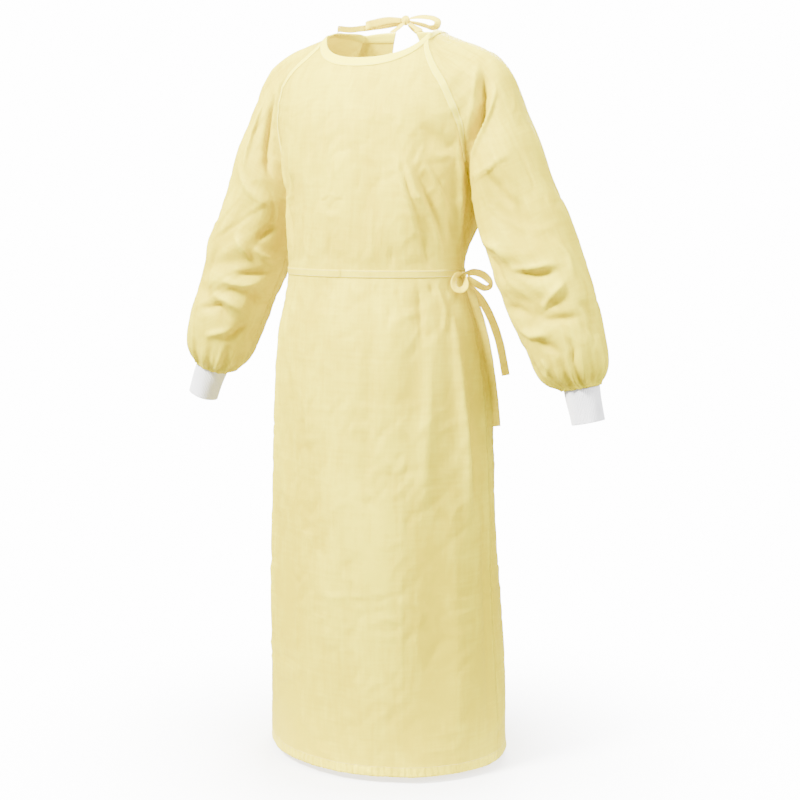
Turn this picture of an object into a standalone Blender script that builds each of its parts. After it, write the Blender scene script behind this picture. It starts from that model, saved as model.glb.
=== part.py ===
"""An isolation gown, filled out as it is worn, with nobody inside.

Metres. The origin is the middle of the neck opening, level with the side neck points, where a wearer
holds the gown up. +X is the wearer's left, -Y the front and +Z up. The hem is GOWN_LENGTH below.

The torso is a stack of half ellipses, one row of TORSO for each height. A point on it is named by its
angle round the body, 0 at the front centre and 90 degrees at the wearer's left side, and its height.
The sleeves leave the torso along raglan seams, which run from the underarm to the neck.
Side 1 is the wearer's left and side -1 the right.
"""

import math

import bmesh
import bpy
import numpy as np

# Driving sizes
GOWN_LENGTH = 1.207
WALL = 0.001
GAP = 0.0003
UNDERARM = -0.285
FRONT_SEAM_TOP = -0.008
BACK_SEAM_TOP = 0.001
FRONT_NECK = -0.049
BACK_NECK = 0.006
WAIST = -0.392
TAPE_WIDTH = 0.013
TAPE_WALL = 0.0008
HEM_DEPTH = 0.014
HEM_EXTRA = 0.0005
CUFF_LENGTH = 0.056
CUFF_WALL = 0.002
CUFF_RADIUS_TOP = 0.0291
CUFF_RADIUS_END = 0.0265
CUFF_LAP = 0.004
GATHERS = 10
OVERLAP_STEP = 0.003
BINDING_GAP = 0.0008
LAP_STEP = 0.0019
KNOT_GAP = 0.0008
KNOT_REACH = 0.012
BAND_TRIM = 0.0012
BELT_PAST_EDGE = 0.005
SEAM_DRAW = 0.6

# How the front and back rows dip from the seams to the neckline: two powers of the share of the way
DIP_START = 2.3
DIP_END = 1.15
FRONT_DIP = 1.6
BACK_DIP = 1.45

# How the gown has slipped over: its upper part lies a little to the wearer's right and lower on the left
SLIP = 0.004
SLOPE = 0.02

# How fine the grids are
HALF_COLUMNS = 12
BACK_COLUMNS = 11
SLEEVE_COLUMNS = 20
RAGLAN_ROWS = 10
RIBBON_STEP = 0.008

YELLOW = (0.80, 0.72, 0.40, 1.0)
WHITE = (0.85, 0.85, 0.85, 1.0)
SIDE_WORDS = {1: "left", -1: "right"}


def table(columns, rows):
    """The rows' values as one array for each named column."""
    return dict(zip(columns.split(), np.array(rows, float).T))


TORSO = table(
    "height half_width front_depth back_depth centre_x centre_y",
    [
        (-1.207, 0.211, 0.176, 0.176, 0.001, -0.002),
        (-1.000, 0.206, 0.172, 0.172, 0.001, -0.005),
        (-0.850, 0.201, 0.167, 0.167, 0.001, -0.008),
        (-0.700, 0.195, 0.160, 0.162, 0.000, -0.010),
        (-0.560, 0.187, 0.150, 0.152, -0.001, -0.014),
        (-0.480, 0.178, 0.138, 0.138, -0.004, -0.018),
        (-0.430, 0.165, 0.124, 0.120, -0.006, -0.021),
        (-0.392, 0.156, 0.114, 0.105, -0.008, -0.023),
        (-0.350, 0.160, 0.118, 0.109, -0.006, -0.020),
        (-0.285, 0.168, 0.125, 0.119, 0.000, -0.012),
        (-0.200, 0.186, 0.128, 0.126, 0.000, -0.004),
        (-0.120, 0.194, 0.117, 0.122, 0.000, 0.000),
        (-0.066, 0.184, 0.098, 0.112, 0.000, 0.004),
        (0.000, 0.130, 0.052, 0.078, 0.000, 0.010),
        (0.030, 0.104, 0.034, 0.064, 0.000, 0.014),
    ],
)

# Angles in degrees of the raglan seams
SEAMS = table(
    "height front_left front_right back",
    [
        (-0.285, 90, 90, 90),
        (-0.250, 80, 82, 101),
        (-0.200, 71, 76, 110),
        (-0.150, 63, 71, 118),
        (-0.116, 56, 65, 125),
        (-0.085, 50, 59, 131),
        (-0.060, 45, 51, 137),
        (-0.030, 43, 43, 142),
        (0.000, 47, 41, 143),
    ],
)

# Where the two back panels end, as x from the middle of the back
BACK_EDGES = table(
    "height left right",
    [
        (-1.207, -0.060, 0.060),
        (-0.600, -0.050, 0.050),
        (-0.392, -0.022, 0.022),
        (-0.330, 0.006, -0.004),
        (-0.200, 0.040, -0.060),
        (-0.100, 0.042, -0.062),
        (-0.030, 0.024, -0.038),
        (0.010, 0.011, -0.022),
    ],
)

# The sleeve's top line from the underarm's level (share 0) to the neck (share 1), the lean of each row
# from the horizontal, the way in which the cloth leaves the seams, and how full each row is
SHOULDER = table(
    "share top_x top_y top_z lean leave fullness",
    [
        (0.00, 0.2920, 0.000, -0.233, 21, 0, 0.667),
        (0.12, 0.2770, 0.000, -0.194, 23, 22, 0.640),
        (0.22, 0.2640, 0.001, -0.164, 26, 42, 0.600),
        (0.33, 0.2500, 0.002, -0.132, 31, 62, 0.550),
        (0.43, 0.2385, 0.003, -0.101, 37, 78, 0.500),
        (0.53, 0.2250, 0.005, -0.072, 45, 92, 0.460),
        (0.63, 0.2060, 0.008, -0.049, 54, 106, 0.420),
        (0.74, 0.1770, 0.011, -0.032, 63, 122, 0.390),
        (0.87, 0.1360, 0.014, -0.016, 72, 145, 0.370),
        (1.00, 0.0910, 0.018, 0.001, 80, 170, 0.350),
    ],
)

# The sleeve's tube, from the underarm (share 0) to the cuff seam (share 1). The left arm hangs a little
# straighter than the right one, so each side has its own end and its own lean at the cuff.
SLEEVE_START = (0.229, 0.0, -0.2595)
SLEEVE_END = {1: (0.352, 0.0, -0.571), -1: (0.358, 0.0, -0.572)}
SLEEVE_LEAN = 21
CUFF_LEAN = {1: 12, -1: 22}
TUBE = table(
    "share out_radius front_radius sag gather",
    [
        (0.00, 0.0660, 0.0670, 0.000, 0.0000),
        (0.15, 0.0690, 0.0700, 0.000, 0.0000),
        (0.35, 0.0710, 0.0715, 0.000, 0.0000),
        (0.55, 0.0700, 0.0700, -0.0015, 0.0000),
        (0.70, 0.0665, 0.0675, -0.0015, 0.0000),
        (0.80, 0.0625, 0.0640, 0.000, 0.0006),
        (0.87, 0.0580, 0.0590, 0.002, 0.0018),
        (0.92, 0.0520, 0.0530, 0.003, 0.0030),
        (0.96, 0.0430, 0.0430, 0.003, 0.0030),
        (0.985, 0.0345, 0.0345, 0.001, 0.0020),
        (1.00, 0.0315, 0.0315, 0.000, 0.0014),
    ],
)
TUBE_SHARES = [0.09, 0.18, 0.27, 0.36, 0.45, 0.54, 0.63, 0.71, 0.78]
GATHER_SHARES = [0.84, 0.89, 0.93, 0.965, 1.0]

# The largest soft folds, as a line from one angle and height to another, in degrees and metres
TORSO_FOLDS = table(
    "angle_1 height_1 angle_2 height_2 width depth",
    [
        (38, -0.150, 58, -0.370, 0.022, -0.007),
        (58, -0.190, 74, -0.372, 0.018, -0.008),
        (24, -0.210, 40, -0.360, 0.030, 0.004),
        (46, -0.415, 40, -0.640, 0.026, -0.006),
        (66, -0.412, 62, -0.700, 0.024, -0.007),
        (-72, -0.410, -66, -0.900, 0.030, -0.006),
        (-64, -0.150, -80, -0.360, 0.020, -0.006),
        (20, -0.560, 16, -1.200, 0.045, 0.006),
        (-24, -0.500, -30, -1.200, 0.050, -0.005),
        (52, -0.700, 50, -1.200, 0.040, -0.006),
        (112, -0.415, 110, -1.000, 0.028, -0.007),
        (140, -0.412, 136, -1.200, 0.034, -0.008),
        (-112, -0.415, -110, -1.000, 0.028, -0.007),
        (-142, -0.412, -138, -1.200, 0.034, -0.008),
        (122, -0.200, 140, -0.370, 0.022, -0.006),
        (-122, -0.200, -140, -0.370, 0.022, -0.006),
    ],
)
TORSO_FOLD_KEYS = ("angle_1", "height_1", "angle_2", "height_2")
METRES_PER_DEGREE = math.radians(0.17)

# The sleeve's folds: share of the way round from the underside over the top, and share along the tube
SLEEVE_FOLDS = table(
    "round_1 along_1 round_2 along_2 width depth",
    [
        (0.10, 0.30, 0.36, 0.46, 0.014, -0.006),
        (0.06, 0.46, 0.34, 0.60, 0.013, -0.006),
        (0.12, 0.68, 0.38, 0.56, 0.014, -0.006),
        (0.22, 0.05, 0.30, 0.34, 0.016, -0.005),
        (0.90, 0.30, 0.66, 0.50, 0.014, -0.006),
        (0.94, 0.52, 0.70, 0.66, 0.013, -0.006),
    ],
)
SLEEVE_FOLD_KEYS = ("round_1", "along_1", "round_2", "along_2")
SLEEVE_ROUND = 0.42
SLEEVE_ALONG = 0.33

# The bow at the wearer's left end of the belt. A strip's width turns from its level direction by lean
# degrees about the strip's own way.
OUT_AND_BACK = (0.883, 0.469, 0.0)
BACK_AND_IN = (-0.469, 0.883, 0.0)
WAIST_KNOT = ((0.1551, -0.0240, -0.3955), (0.0045, 0.0060, 0.0065))
WAIST_LOOPS = {
    "waist_loop_back": (
        (0.1590, -0.0165, -0.3925, 50, 0.007),
        (0.1640, -0.0094, -0.3912, 52, 0.011),
        (0.1701, -0.0002, -0.3928, 52, 0.013),
        (0.1775, 0.0094, -0.3984, 50, 0.013),
        (0.1842, 0.0130, -0.4075, 42, 0.013),
        (0.1862, 0.0084, -0.4144, 40, 0.013),
        (0.1822, 0.0004, -0.4170, 44, 0.013),
        (0.1785, -0.0073, -0.4145, 48, 0.013),
        (0.1728, -0.0159, -0.4085, 48, 0.011),
        (0.1640, -0.0200, -0.4030, 45, 0.007),
    ),
    "waist_loop_front": (
        (0.1550, -0.0335, -0.3925, 30, 0.007),
        (0.1527, -0.0473, -0.3959, 34, 0.011),
        (0.1521, -0.0556, -0.4061, 34, 0.012),
        (0.1567, -0.0576, -0.4157, 34, 0.012),
        (0.1631, -0.0520, -0.4182, 34, 0.012),
        (0.1667, -0.0444, -0.4137, 32, 0.011),
        (0.1650, -0.0380, -0.4065, 30, 0.009),
        (0.1610, -0.0320, -0.4000, 30, 0.007),
    ),
}

# The bow's two hanging ends, as angle, height and distance out from the torso, then lean and width
WAIST_TAILS = {
    "waist_tail_back": (
        (92.5, -0.4020, 0.0035, 0, 0.005),
        (94.5, -0.4110, 0.0065, 0, 0.008),
        (96.5, -0.4210, 0.0095, 0, 0.011),
        (99.0, -0.4340, 0.0145, 0, 0.0137),
        (102.2, -0.4549, 0.0185, 0, 0.0137),
        (104.5, -0.4815, 0.0210, 0, 0.0137),
        (106.0, -0.5049, 0.0230, 0, 0.0137),
        (107.6, -0.5352, 0.0245, 0, 0.0137),
        (108.9, -0.5635, 0.0255, 0, 0.0137),
    ),
    "waist_tail_front": (
        (90.0, -0.4045, 0.0065, 0, 0.006),
        (91.5, -0.4200, 0.0085, 0, 0.012),
        (93.0, -0.4500, 0.0082, 0, 0.0137),
        (94.0, -0.5000, 0.0080, 0, 0.0137),
        (96.0, -0.5600, 0.0080, 0, 0.0137),
        (97.5, -0.6100, 0.0080, 0, 0.0137),
        (98.5, -0.6450, 0.0080, 0, 0.0137),
    ),
}

# The ties at the back of the neck and their bow
NECK_KNOT = ((-0.0240, 0.1130, 0.0310), (0.0080, 0.0065, 0.0090))
ACROSS = (1.0, 0.0, 0.0)
UPWARD = (0.0, 0.0, 1.0)
BACKWARD = (0.0, 1.0, 0.0)
NECK_STRIPS = {
    "neck_tie_lead_right": (ACROSS, (
        (-0.0340, 0.0840, 0.0086, 0, 0.013),
        (-0.0330, 0.0905, 0.0125, 0, 0.013),
        (-0.0305, 0.0975, 0.0170, 0, 0.012),
        (-0.0265, 0.1060, 0.0235, 0, 0.009),
    )),
    "neck_tie_lead_left": (ACROSS, (
        (0.0150, 0.0882, 0.0084, 0, 0.013),
        (0.0110, 0.0930, 0.0120, 12, 0.013),
        (0.0000, 0.1000, 0.0175, 24, 0.012),
        (-0.0145, 0.1080, 0.0250, 30, 0.009),
    )),
    "neck_loop_right": (UPWARD, (
        (-0.0325, 0.1080, 0.0310, 0, 0.009),
        (-0.0500, 0.0990, 0.0310, 0, 0.012),
        (-0.0700, 0.0885, 0.0262, 0, 0.014),
        (-0.0830, 0.0815, 0.0222, 0, 0.014),
        (-0.0860, 0.0835, 0.0212, 0, 0.014),
        (-0.0835, 0.0860, 0.0222, 0, 0.014),
        (-0.0700, 0.0935, 0.0262, 0, 0.014),
        (-0.0500, 0.1050, 0.0310, 0, 0.012),
        (-0.0330, 0.1140, 0.0310, 0, 0.009),
    )),
    "neck_loop_left": (BACKWARD, (
        (-0.0150, 0.1130, 0.0345, 30, 0.009),
        (0.0000, 0.1135, 0.0355, 38, 0.012),
        (0.0180, 0.1115, 0.0340, 38, 0.013),
        (0.0350, 0.1060, 0.0295, 38, 0.013),
        (0.0430, 0.1020, 0.0240, 38, 0.013),
        (0.0420, 0.1000, 0.0165, 38, 0.013),
        (0.0330, 0.1010, 0.0145, 38, 0.013),
        (0.0180, 0.1050, 0.0190, 38, 0.012),
        (0.0000, 0.1090, 0.0240, 38, 0.010),
        (-0.0140, 0.1120, 0.0275, 30, 0.007),
    )),
    "neck_tail_right": (UPWARD, (
        (-0.0310, 0.1190, 0.0270, 0, 0.008),
        (-0.0550, 0.1100, 0.0245, 0, 0.0105),
        (-0.0780, 0.0960, 0.0205, 0, 0.0105),
        (-0.0920, 0.0800, 0.0175, 0, 0.0105),
        (-0.1000, 0.0600, 0.0140, 0, 0.0105),
        (-0.1005, 0.0400, 0.0125, 0, 0.0105),
        (-0.0985, 0.0200, 0.0115, 0, 0.0105),
        (-0.0925, 0.0000, 0.0085, 0, 0.0105),
        (-0.0850, -0.0140, 0.0010, 0, 0.0105),
    )),
    "neck_tail_left": (ACROSS, (
        (-0.0195, 0.1170, 0.0240, 0, 0.008),
        (-0.0140, 0.1215, 0.0180, 0, 0.011),
        (-0.0020, 0.1255, 0.0090, 0, 0.013),
        (0.0130, 0.1285, -0.0040, 0, 0.013),
        (0.0280, 0.1320, -0.0230, 0, 0.013),
        (0.0390, 0.1370, -0.0520, 0, 0.013),
        (0.0440, 0.1420, -0.0860, 0, 0.013),
    )),
}


# Smooth curves and directions


def curve_through(at, known, values):
    """A smooth cubic through (known, values), read at the places in at."""
    at = np.asarray(at, float)
    slopes = np.gradient(values, known)
    i = np.clip(np.searchsorted(known, at) - 1, 0, len(known) - 2)
    step = known[i + 1] - known[i]
    t = np.clip((at - known[i]) / step, 0, 1)
    return (
        (1 + 2 * t) * (1 - t) ** 2 * values[i]
        + t * (1 - t) ** 2 * step * slopes[i]
        + t * t * (3 - 2 * t) * values[i + 1]
        + t * t * (t - 1) * step * slopes[i + 1]
    )


def column(rows, name, at):
    """One column of a table, read between its rows. The first column is where each row is."""
    return curve_through(at, next(iter(rows.values())), rows[name])


def unit(vectors):
    return vectors / np.maximum(np.linalg.norm(vectors, axis=-1, keepdims=True), 1e-12)


def smoothstep(low, high, x):
    t = np.clip((x - low) / (high - low), 0, 1)
    return t * t * (3 - 2 * t)


def mirrored(points):
    return points * np.array([-1.0, 1.0, 1.0])


def lean_vector(degrees):
    return np.array([math.cos(math.radians(degrees)), 0.0, math.sin(math.radians(degrees))])


def slipped(points):
    """The gown's upper part moved over a little, more and more from below the underarm to the chest."""
    share = smoothstep(-0.30, -0.12, points[..., 2])
    moved = points.copy()
    moved[..., 0] -= SLIP * share
    moved[..., 2] -= SLOPE * points[..., 0] * share
    return moved


# The torso's form


def fold_height(rows, keys, across, along, across_size, along_size):
    """The sum of the folds at each place: each is a soft line that fades at both ends."""
    total = np.zeros(np.broadcast(across, along).shape)
    for values in zip(*(rows[k] for k in (*keys, "width", "depth"))):
        across_1, along_1, across_2, along_2, width, depth = values
        line = np.array([(across_2 - across_1) * across_size, (along_2 - along_1) * along_size])
        here = np.stack(
            np.broadcast_arrays((across - across_1) * across_size, (along - along_1) * along_size), -1
        )
        share = here @ line / (line @ line)
        off = np.linalg.norm(here - np.clip(share, 0, 1)[..., None] * line, axis=-1)
        fade = np.sin(np.pi * np.clip(share, 0.04, 0.96)) ** 0.6
        total = total + depth * fade * np.exp(-((off / width) ** 2))
    return total


def torso_point(angle, height, out=0.0):
    """The point on the torso at an angle in degrees and a height, moved out by out."""
    turn = np.radians(angle)
    forward = np.cos(turn)
    depth = np.where(
        forward > 0, column(TORSO, "front_depth", height), column(TORSO, "back_depth", height)
    )
    width = column(TORSO, "half_width", height)
    across = column(TORSO, "centre_x", height) + width * np.sin(turn)
    ahead = column(TORSO, "centre_y", height) - depth * forward
    point = np.stack(np.broadcast_arrays(across, ahead, height), -1)
    outward = np.stack(np.broadcast_arrays(np.sin(turn) / width, -forward / depth, 0 * across), -1)
    return point + unit(outward) * np.asarray(out)[..., None]


def torso_folds(angle, height):
    """The folds' height on the torso, none at the belt or near the neck."""
    raised = fold_height(TORSO_FOLDS, TORSO_FOLD_KEYS, angle, height, METRES_PER_DEGREE, 1.0)
    clear_of_belt = smoothstep(0.008, 0.03, np.abs(height - WAIST))
    return raised * clear_of_belt * smoothstep(-0.02, -0.08, height)


def surface(angle, height, step=0.0):
    return torso_point(angle, height, torso_folds(angle, height) + step)


# Heights of the rows that every panel shares. The belt lies between two of them.
HEM = -GOWN_LENGTH
HEM_ROWS = 2
LOW_ROWS = np.array(
    [HEM, HEM + HEM_DEPTH, HEM + HEM_DEPTH + 0.001, -1.10, -1.00, -0.90, -0.80, -0.70, -0.61]
    + [-0.54, -0.49, -0.45, -0.42]
    + [WAIST - TAPE_WIDTH / 2, WAIST + TAPE_WIDTH / 2, -0.36, -0.335, -0.31, UNDERARM]
)
LOW_COUNT = len(LOW_ROWS)
BELT_ROWS = [LOW_COUNT - 6, LOW_COUNT - 5]
BINDING_SHARE = 0.964
RAGLAN_SHARES = np.append(np.linspace(0, 0.9, RAGLAN_ROWS - 1), [BINDING_SHARE, 1.0])
BAND_ROWS = slice(LOW_COUNT + 3, LOW_COUNT + len(RAGLAN_SHARES) - 2)


def row_heights(seam_top, middle_height, power):
    """For each row, the height at its outer end and at its inner end, hem to neck."""
    ends = UNDERARM + (seam_top - UNDERARM) * RAGLAN_SHARES
    middles = UNDERARM + (middle_height - UNDERARM) * RAGLAN_SHARES**power
    return np.append(LOW_ROWS, ends[1:]), np.append(LOW_ROWS, middles[1:])


def place_by_length(points, wanted):
    """Reads each row of points at the given lengths along it, measured from its first point."""
    steps = np.linalg.norm(np.diff(points[..., :3], axis=1), axis=-1)
    lengths = np.concatenate([np.zeros((len(points), 1)), np.cumsum(steps, axis=1)], axis=1)
    rows = [
        [np.interp(wanted(total[-1]), total, row[:, k]) for k in range(row.shape[1])]
        for total, row in zip(lengths, points)
    ]
    return np.array(rows).transpose(0, 2, 1)


def panel(angle_from, angle_to, ends, middles, wanted, fine=120):
    """A panel's angles and heights: rows from hem to neck, each read from the panel's middle or free
    edge to its seam, with columns at the wanted lengths. Above the underarm the rows dip to the middle."""
    u = np.linspace(0, 1, fine)
    angle = angle_from[:, None] + (angle_to - angle_from)[:, None] * u
    height = ends[:, None] - (ends - middles)[:, None] * (1 - u**DIP_START) ** DIP_END
    rows = np.concatenate([torso_point(angle, height), angle[..., None], height[..., None]], axis=-1)
    placed = place_by_length(rows, wanted)
    return placed[..., 3], placed[..., 4]


def front_grid():
    """The front panel from the wearer's right seam to the left one."""
    ends, middles = row_heights(FRONT_SEAM_TOP, FRONT_NECK, FRONT_DIP)

    def wanted(length):
        return np.append(np.linspace(0, length - TAPE_WIDTH, HALF_COLUMNS), length)

    (left_angle, left_height), (right_angle, right_height) = [
        panel(0 * ends, column(SEAMS, name, np.maximum(ends, UNDERARM)), ends, middles, wanted)
        for name in ("front_left", "front_right")
    ]
    angle = np.concatenate([-right_angle[:, :0:-1], left_angle], axis=1)
    height = np.concatenate([right_height[:, :0:-1], left_height], axis=1)
    return surface(angle, height)


def back_grid(side):
    """A back panel from its seam to its free edge at the back."""
    ends, middles = row_heights(BACK_SEAM_TOP, BACK_NECK, BACK_DIP)
    seam = column(SEAMS, "back", np.maximum(ends, UNDERARM))
    edge_x = column(BACK_EDGES, SIDE_WORDS[side], middles) * side
    edge = 180 - np.degrees(np.arcsin(edge_x / column(TORSO, "half_width", middles)))

    def wanted(length):
        inner = np.linspace(HEM_DEPTH, length - TAPE_WIDTH, BACK_COLUMNS - 1)
        return np.concatenate([[0], inner, [length]])

    angle, height = panel(edge, seam, ends, middles, wanted)
    step = OVERLAP_STEP * smoothstep(150, 163, angle) * (side > 0)
    return surface(side * angle, height, step)[:, ::-1]


# The sleeves' form


def cubic(start, start_way, end_way, end, t):
    """A cubic curve from start to end with its two handle points."""
    t = t[:, None]
    return (
        (1 - t) ** 3 * start
        + 3 * t * (1 - t) ** 2 * start_way
        + 3 * t * t * (1 - t) * end_way
        + t**3 * end
    )


def sleeve_row(front, back, top, outward, leave, fulls, columns):
    """From the front seam over the top to the back seam, as two cubics that meet at the top."""
    forward = np.array([0.0, -1.0, 0.0])
    turn = math.radians(leave)
    t = np.linspace(0, 1, columns // 2 + 1)
    halves = []
    for start, way, full in ((front, forward, fulls[0]), (back, -forward, fulls[1])):
        start_way = start + full * (math.cos(turn) * way + math.sin(turn) * outward)
        halves.append(cubic(start, start_way, top + full * way, top, t))
    return np.concatenate([halves[0], halves[1][-2::-1]])


def raglan_row(share, front, back):
    """A row of the wearer's left sleeve above the underarm."""
    values = {k: float(column(SHOULDER, k, share)) for k in SHOULDER if k != "share"}
    top = np.array([values["top_x"], values["top_y"], values["top_z"]])
    fulls = [values["fullness"] * np.linalg.norm(top - end) for end in (front, back)]
    outward = lean_vector(values["lean"])
    return sleeve_row(front, back, top, outward, values["leave"], fulls, SLEEVE_COLUMNS)


def tube_row(side, share, columns):
    """A closed row of a sleeve below the underarm, from its underside, as on the wearer's left."""
    start, end = np.array(SLEEVE_START), np.array(SLEEVE_END[side])
    outward = lean_vector(SLEEVE_LEAN + (CUFF_LEAN[side] - SLEEVE_LEAN) * smoothstep(0.6, 1.0, share))
    names = ("out_radius", "front_radius", "sag", "gather")
    radius, depth, sag, gather = (float(column(TUBE, k, share)) for k in names)
    centre = start + (end - start) * share - outward * sag
    under, top = centre - outward * radius, centre + outward * radius
    row = sleeve_row(under, under, top, outward, 0, [depth * 4 / 3] * 2, columns)
    way_round = np.arange(columns + 1) / columns
    raised = fold_height(SLEEVE_FOLDS, SLEEVE_FOLD_KEYS, way_round, share, SLEEVE_ROUND, SLEEVE_ALONG)
    raised = raised + gather * np.cos(2 * np.pi * GATHERS * way_round)
    return (row + unit(row - centre) * raised[:, None])[:-1]


# Sheets of points, and the walls made from them


def grid_faces(index):
    """Triangles over a grid of point numbers."""
    corners = np.stack([index[:-1, :-1], index[:-1, 1:], index[1:, 1:], index[1:, :-1]], -1)
    quads = corners.reshape(-1, 4).tolist()
    return [t for a, b, c, d in quads for t in ((a, b, c), (a, c, d))]


def normals_of(points, faces):
    faces = np.array(faces)
    corners = points[faces]
    across = np.cross(corners[:, 1] - corners[:, 0], corners[:, 2] - corners[:, 0])
    total = np.zeros_like(points)
    for k in range(3):
        np.add.at(total, faces[:, k], across)
    return unit(total)


class Sheet:
    """Points with the rows of their numbers, faces that point outwards and normals."""

    def __init__(self, points, index, faces):
        self.points = points
        self.index = index
        self.faces = faces
        self.normals = normals_of(points, faces)


def grid_sheet(grid, flip=False):
    """A sheet from a plain grid. flip turns it over, so that its faces point outwards."""
    rows, columns = grid.shape[:2]
    index = np.arange(rows * columns).reshape(rows, columns)
    faces = [f[::-1] for f in grid_faces(index)] if flip else grid_faces(index)
    return Sheet(grid.reshape(-1, 3), index, faces)


def sleeve_rows(side, front_seam, back_seam):
    """A sleeve, as on the wearer's left, as rows of points from the neck to the cuff. Open rows run from
    the front seam to the back one; the rest are closed, and the last ones have twice the columns."""
    shares = RAGLAN_SHARES[:0:-1]
    rows = [raglan_row(s, f, b) for s, f, b in zip(shares, front_seam[:0:-1], back_seam[:0:-1])]
    rows += [tube_row(side, share, SLEEVE_COLUMNS) for share in [0.0, *TUBE_SHARES]]
    return rows + [tube_row(side, share, 2 * SLEEVE_COLUMNS) for share in GATHER_SHARES]


def numbered_rows(rows):
    """Each row's point numbers, with a closed row's first number again at its end."""
    index = []
    start = 0
    for k, row in enumerate(rows):
        numbers = np.arange(len(row)) + start
        is_open = k < len(RAGLAN_SHARES) - 1
        index.append(numbers if is_open else np.append(numbers, numbers[0]))
        start += len(row)
    return index


def sleeve_sheet(side, front_seam, back_seam):
    flat = mirrored if side < 0 else np.array
    rows = sleeve_rows(side, flat(front_seam), flat(back_seam))
    index = numbered_rows(rows)
    coarse = index[: -len(GATHER_SHARES)]
    fine = index[-len(GATHER_SHARES):]
    faces = grid_faces(np.array(coarse)) + grid_faces(np.array(fine))
    for k in range(SLEEVE_COLUMNS):
        a, b = coarse[-1][k: k + 2]
        c, d, e = fine[0][2 * k: 2 * k + 3]
        faces += [(a, d, c), (a, b, d), (b, e, d)]
    if side > 0:
        faces = [f[::-1] for f in faces]
    return Sheet(slipped(flat(np.concatenate(rows))), index, faces)


def share_seam(one, own, two, other, way):
    """Sheets one and two meet along own and other. They share the seam's normals, and each draws back
    across the seam, one towards way and two away from it, to leave the gap."""
    shared = unit(one.normals[own] + two.normals[other])
    one.normals[own] = shared
    two.normals[other] = shared
    along = unit(np.gradient(two.points[other], axis=0))
    across = unit(np.cross(along, shared))
    across = across * np.where((across @ way)[:, None] < 0, -1.0, 1.0)
    one.points[own] += across * GAP * SEAM_DRAW
    two.points[other] -= across * GAP * SEAM_DRAW


def lap_seam(sleeve, own, body, other, outward):
    """In the armpit the sleeve folds back over the body panel, so there its edge lies on the panel's
    edge, one wall and a gap out. Further up the two meet edge to edge."""
    lap = (1 - smoothstep(0.30, 0.55, RAGLAN_SHARES[1:]))[:, None]
    sleeve_normals = sleeve.normals[own].copy()
    body_normals = body.normals[other].copy()
    share_seam(sleeve, own, body, other, outward)
    sleeve.normals[own] = unit(sleeve_normals * lap + sleeve.normals[own] * (1 - lap))
    body.normals[other] = unit(body_normals * lap + body.normals[other] * (1 - lap))
    sleeve.points[own] += body_normals * lap * LAP_STEP


def build_sheets():
    """All the panels' sheets, with the gaps along their seams."""
    front_points = front_grid()
    front = grid_sheet(slipped(front_points))
    backs, sleeves = {}, {}
    upper = slice(LOW_COUNT - 1, None)
    low = slice(0, LOW_COUNT)
    for side in (1, -1):
        back_points = back_grid(side)
        back = grid_sheet(slipped(back_points), flip=side < 0)
        edge = -1 if side > 0 else 0
        sleeve = sleeve_sheet(side, front_points[upper, edge], back_points[upper, 0])
        outward = np.array([float(side), 0.0, 0.0])
        front_edge, back_edge = front.index[:, edge], back.index[:, 0]
        share_seam(front, front_edge[low], back, back_edge[low], np.array([0.0, -1.0, 0.0]))
        open_rows = sleeve.index[: len(RAGLAN_SHARES) - 1][::-1]
        lap_seam(sleeve, np.array([r[0] for r in open_rows]), front, front_edge[LOW_COUNT:], outward)
        lap_seam(sleeve, np.array([r[-1] for r in open_rows]), back, back_edge[LOW_COUNT:], outward)
        sleeve.points[sleeve.index[len(open_rows)][0]] += outward * LAP_STEP
        backs[side] = back
        sleeves[side] = sleeve
    return front, backs, sleeves


def matt(name, colour):
    """A piece's own matt material, of the yellow cloth or the white knit."""
    made = bpy.data.materials.new(name)
    made.use_nodes = True
    shader = made.node_tree.nodes["Principled BSDF"]
    shader.inputs["Base Color"].default_value = colour
    shader.inputs["Roughness"].default_value = 0.75 if colour == WHITE else 0.55
    shader.inputs["Metallic"].default_value = 0.0
    return made


def solid(name, vertices, faces, colour=YELLOW):
    """One object from its points and faces, in triangles and smooth but for its sharp edges."""
    mesh = bpy.data.meshes.new(name)
    mesh.from_pydata([tuple(map(float, v)) for v in vertices], [], [tuple(map(int, f)) for f in faces])
    shape = bmesh.new()
    shape.from_mesh(mesh)
    bmesh.ops.triangulate(shape, faces=[f for f in shape.faces if len(f.verts) > 3])
    bmesh.ops.recalc_face_normals(shape, faces=shape.faces)
    shape.to_mesh(mesh)
    shape.free()
    mesh.shade_smooth()
    mesh.set_sharp_from_angle(angle=math.radians(50))
    mesh.materials.append(matt(name, colour))
    made = bpy.data.objects.new(name, mesh)
    bpy.context.scene.collection.objects.link(made)
    return made


def cloth(name, points, faces, normals, outer=WALL / 2, inner=WALL / 2):
    """A closed wall round a sheet: an outer and an inner face, joined round every free edge."""
    count = len(points)
    outer = np.broadcast_to(outer, count)[:, None]
    inner = np.broadcast_to(inner, count)[:, None]
    ends = {(f[k], f[(k + 1) % 3]) for f in faces for k in range(3)}
    free = sorted(e for e in ends if e[::-1] not in ends)
    sides = [(b, a, a + count, b + count) for a, b in free]
    inside = [tuple(i + count for i in f[::-1]) for f in faces]
    vertices = np.concatenate([points + normals * outer, points - normals * inner])
    return solid(name, vertices, [*faces, *inside, *sides])


def swept(name, rings, caps, colour=YELLOW, closed=False):
    """Rings of points joined one to the next. caps are the faces that close the first and last."""
    count, size = rings.shape[:2]
    faces = []
    for k in range(count if closed else count - 1):
        here, there = k * size, ((k + 1) % count) * size
        for j in range(size):
            n = (j + 1) % size
            faces.append((here + j, here + n, there + n, there + j))
    if not closed:
        faces += [tuple(c[::-1]) for c in caps]
        faces += [tuple(i + (count - 1) * size for i in c) for c in caps]
    return solid(name, rings.reshape(-1, 3), faces, colour)


# The sewn-on pieces


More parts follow.
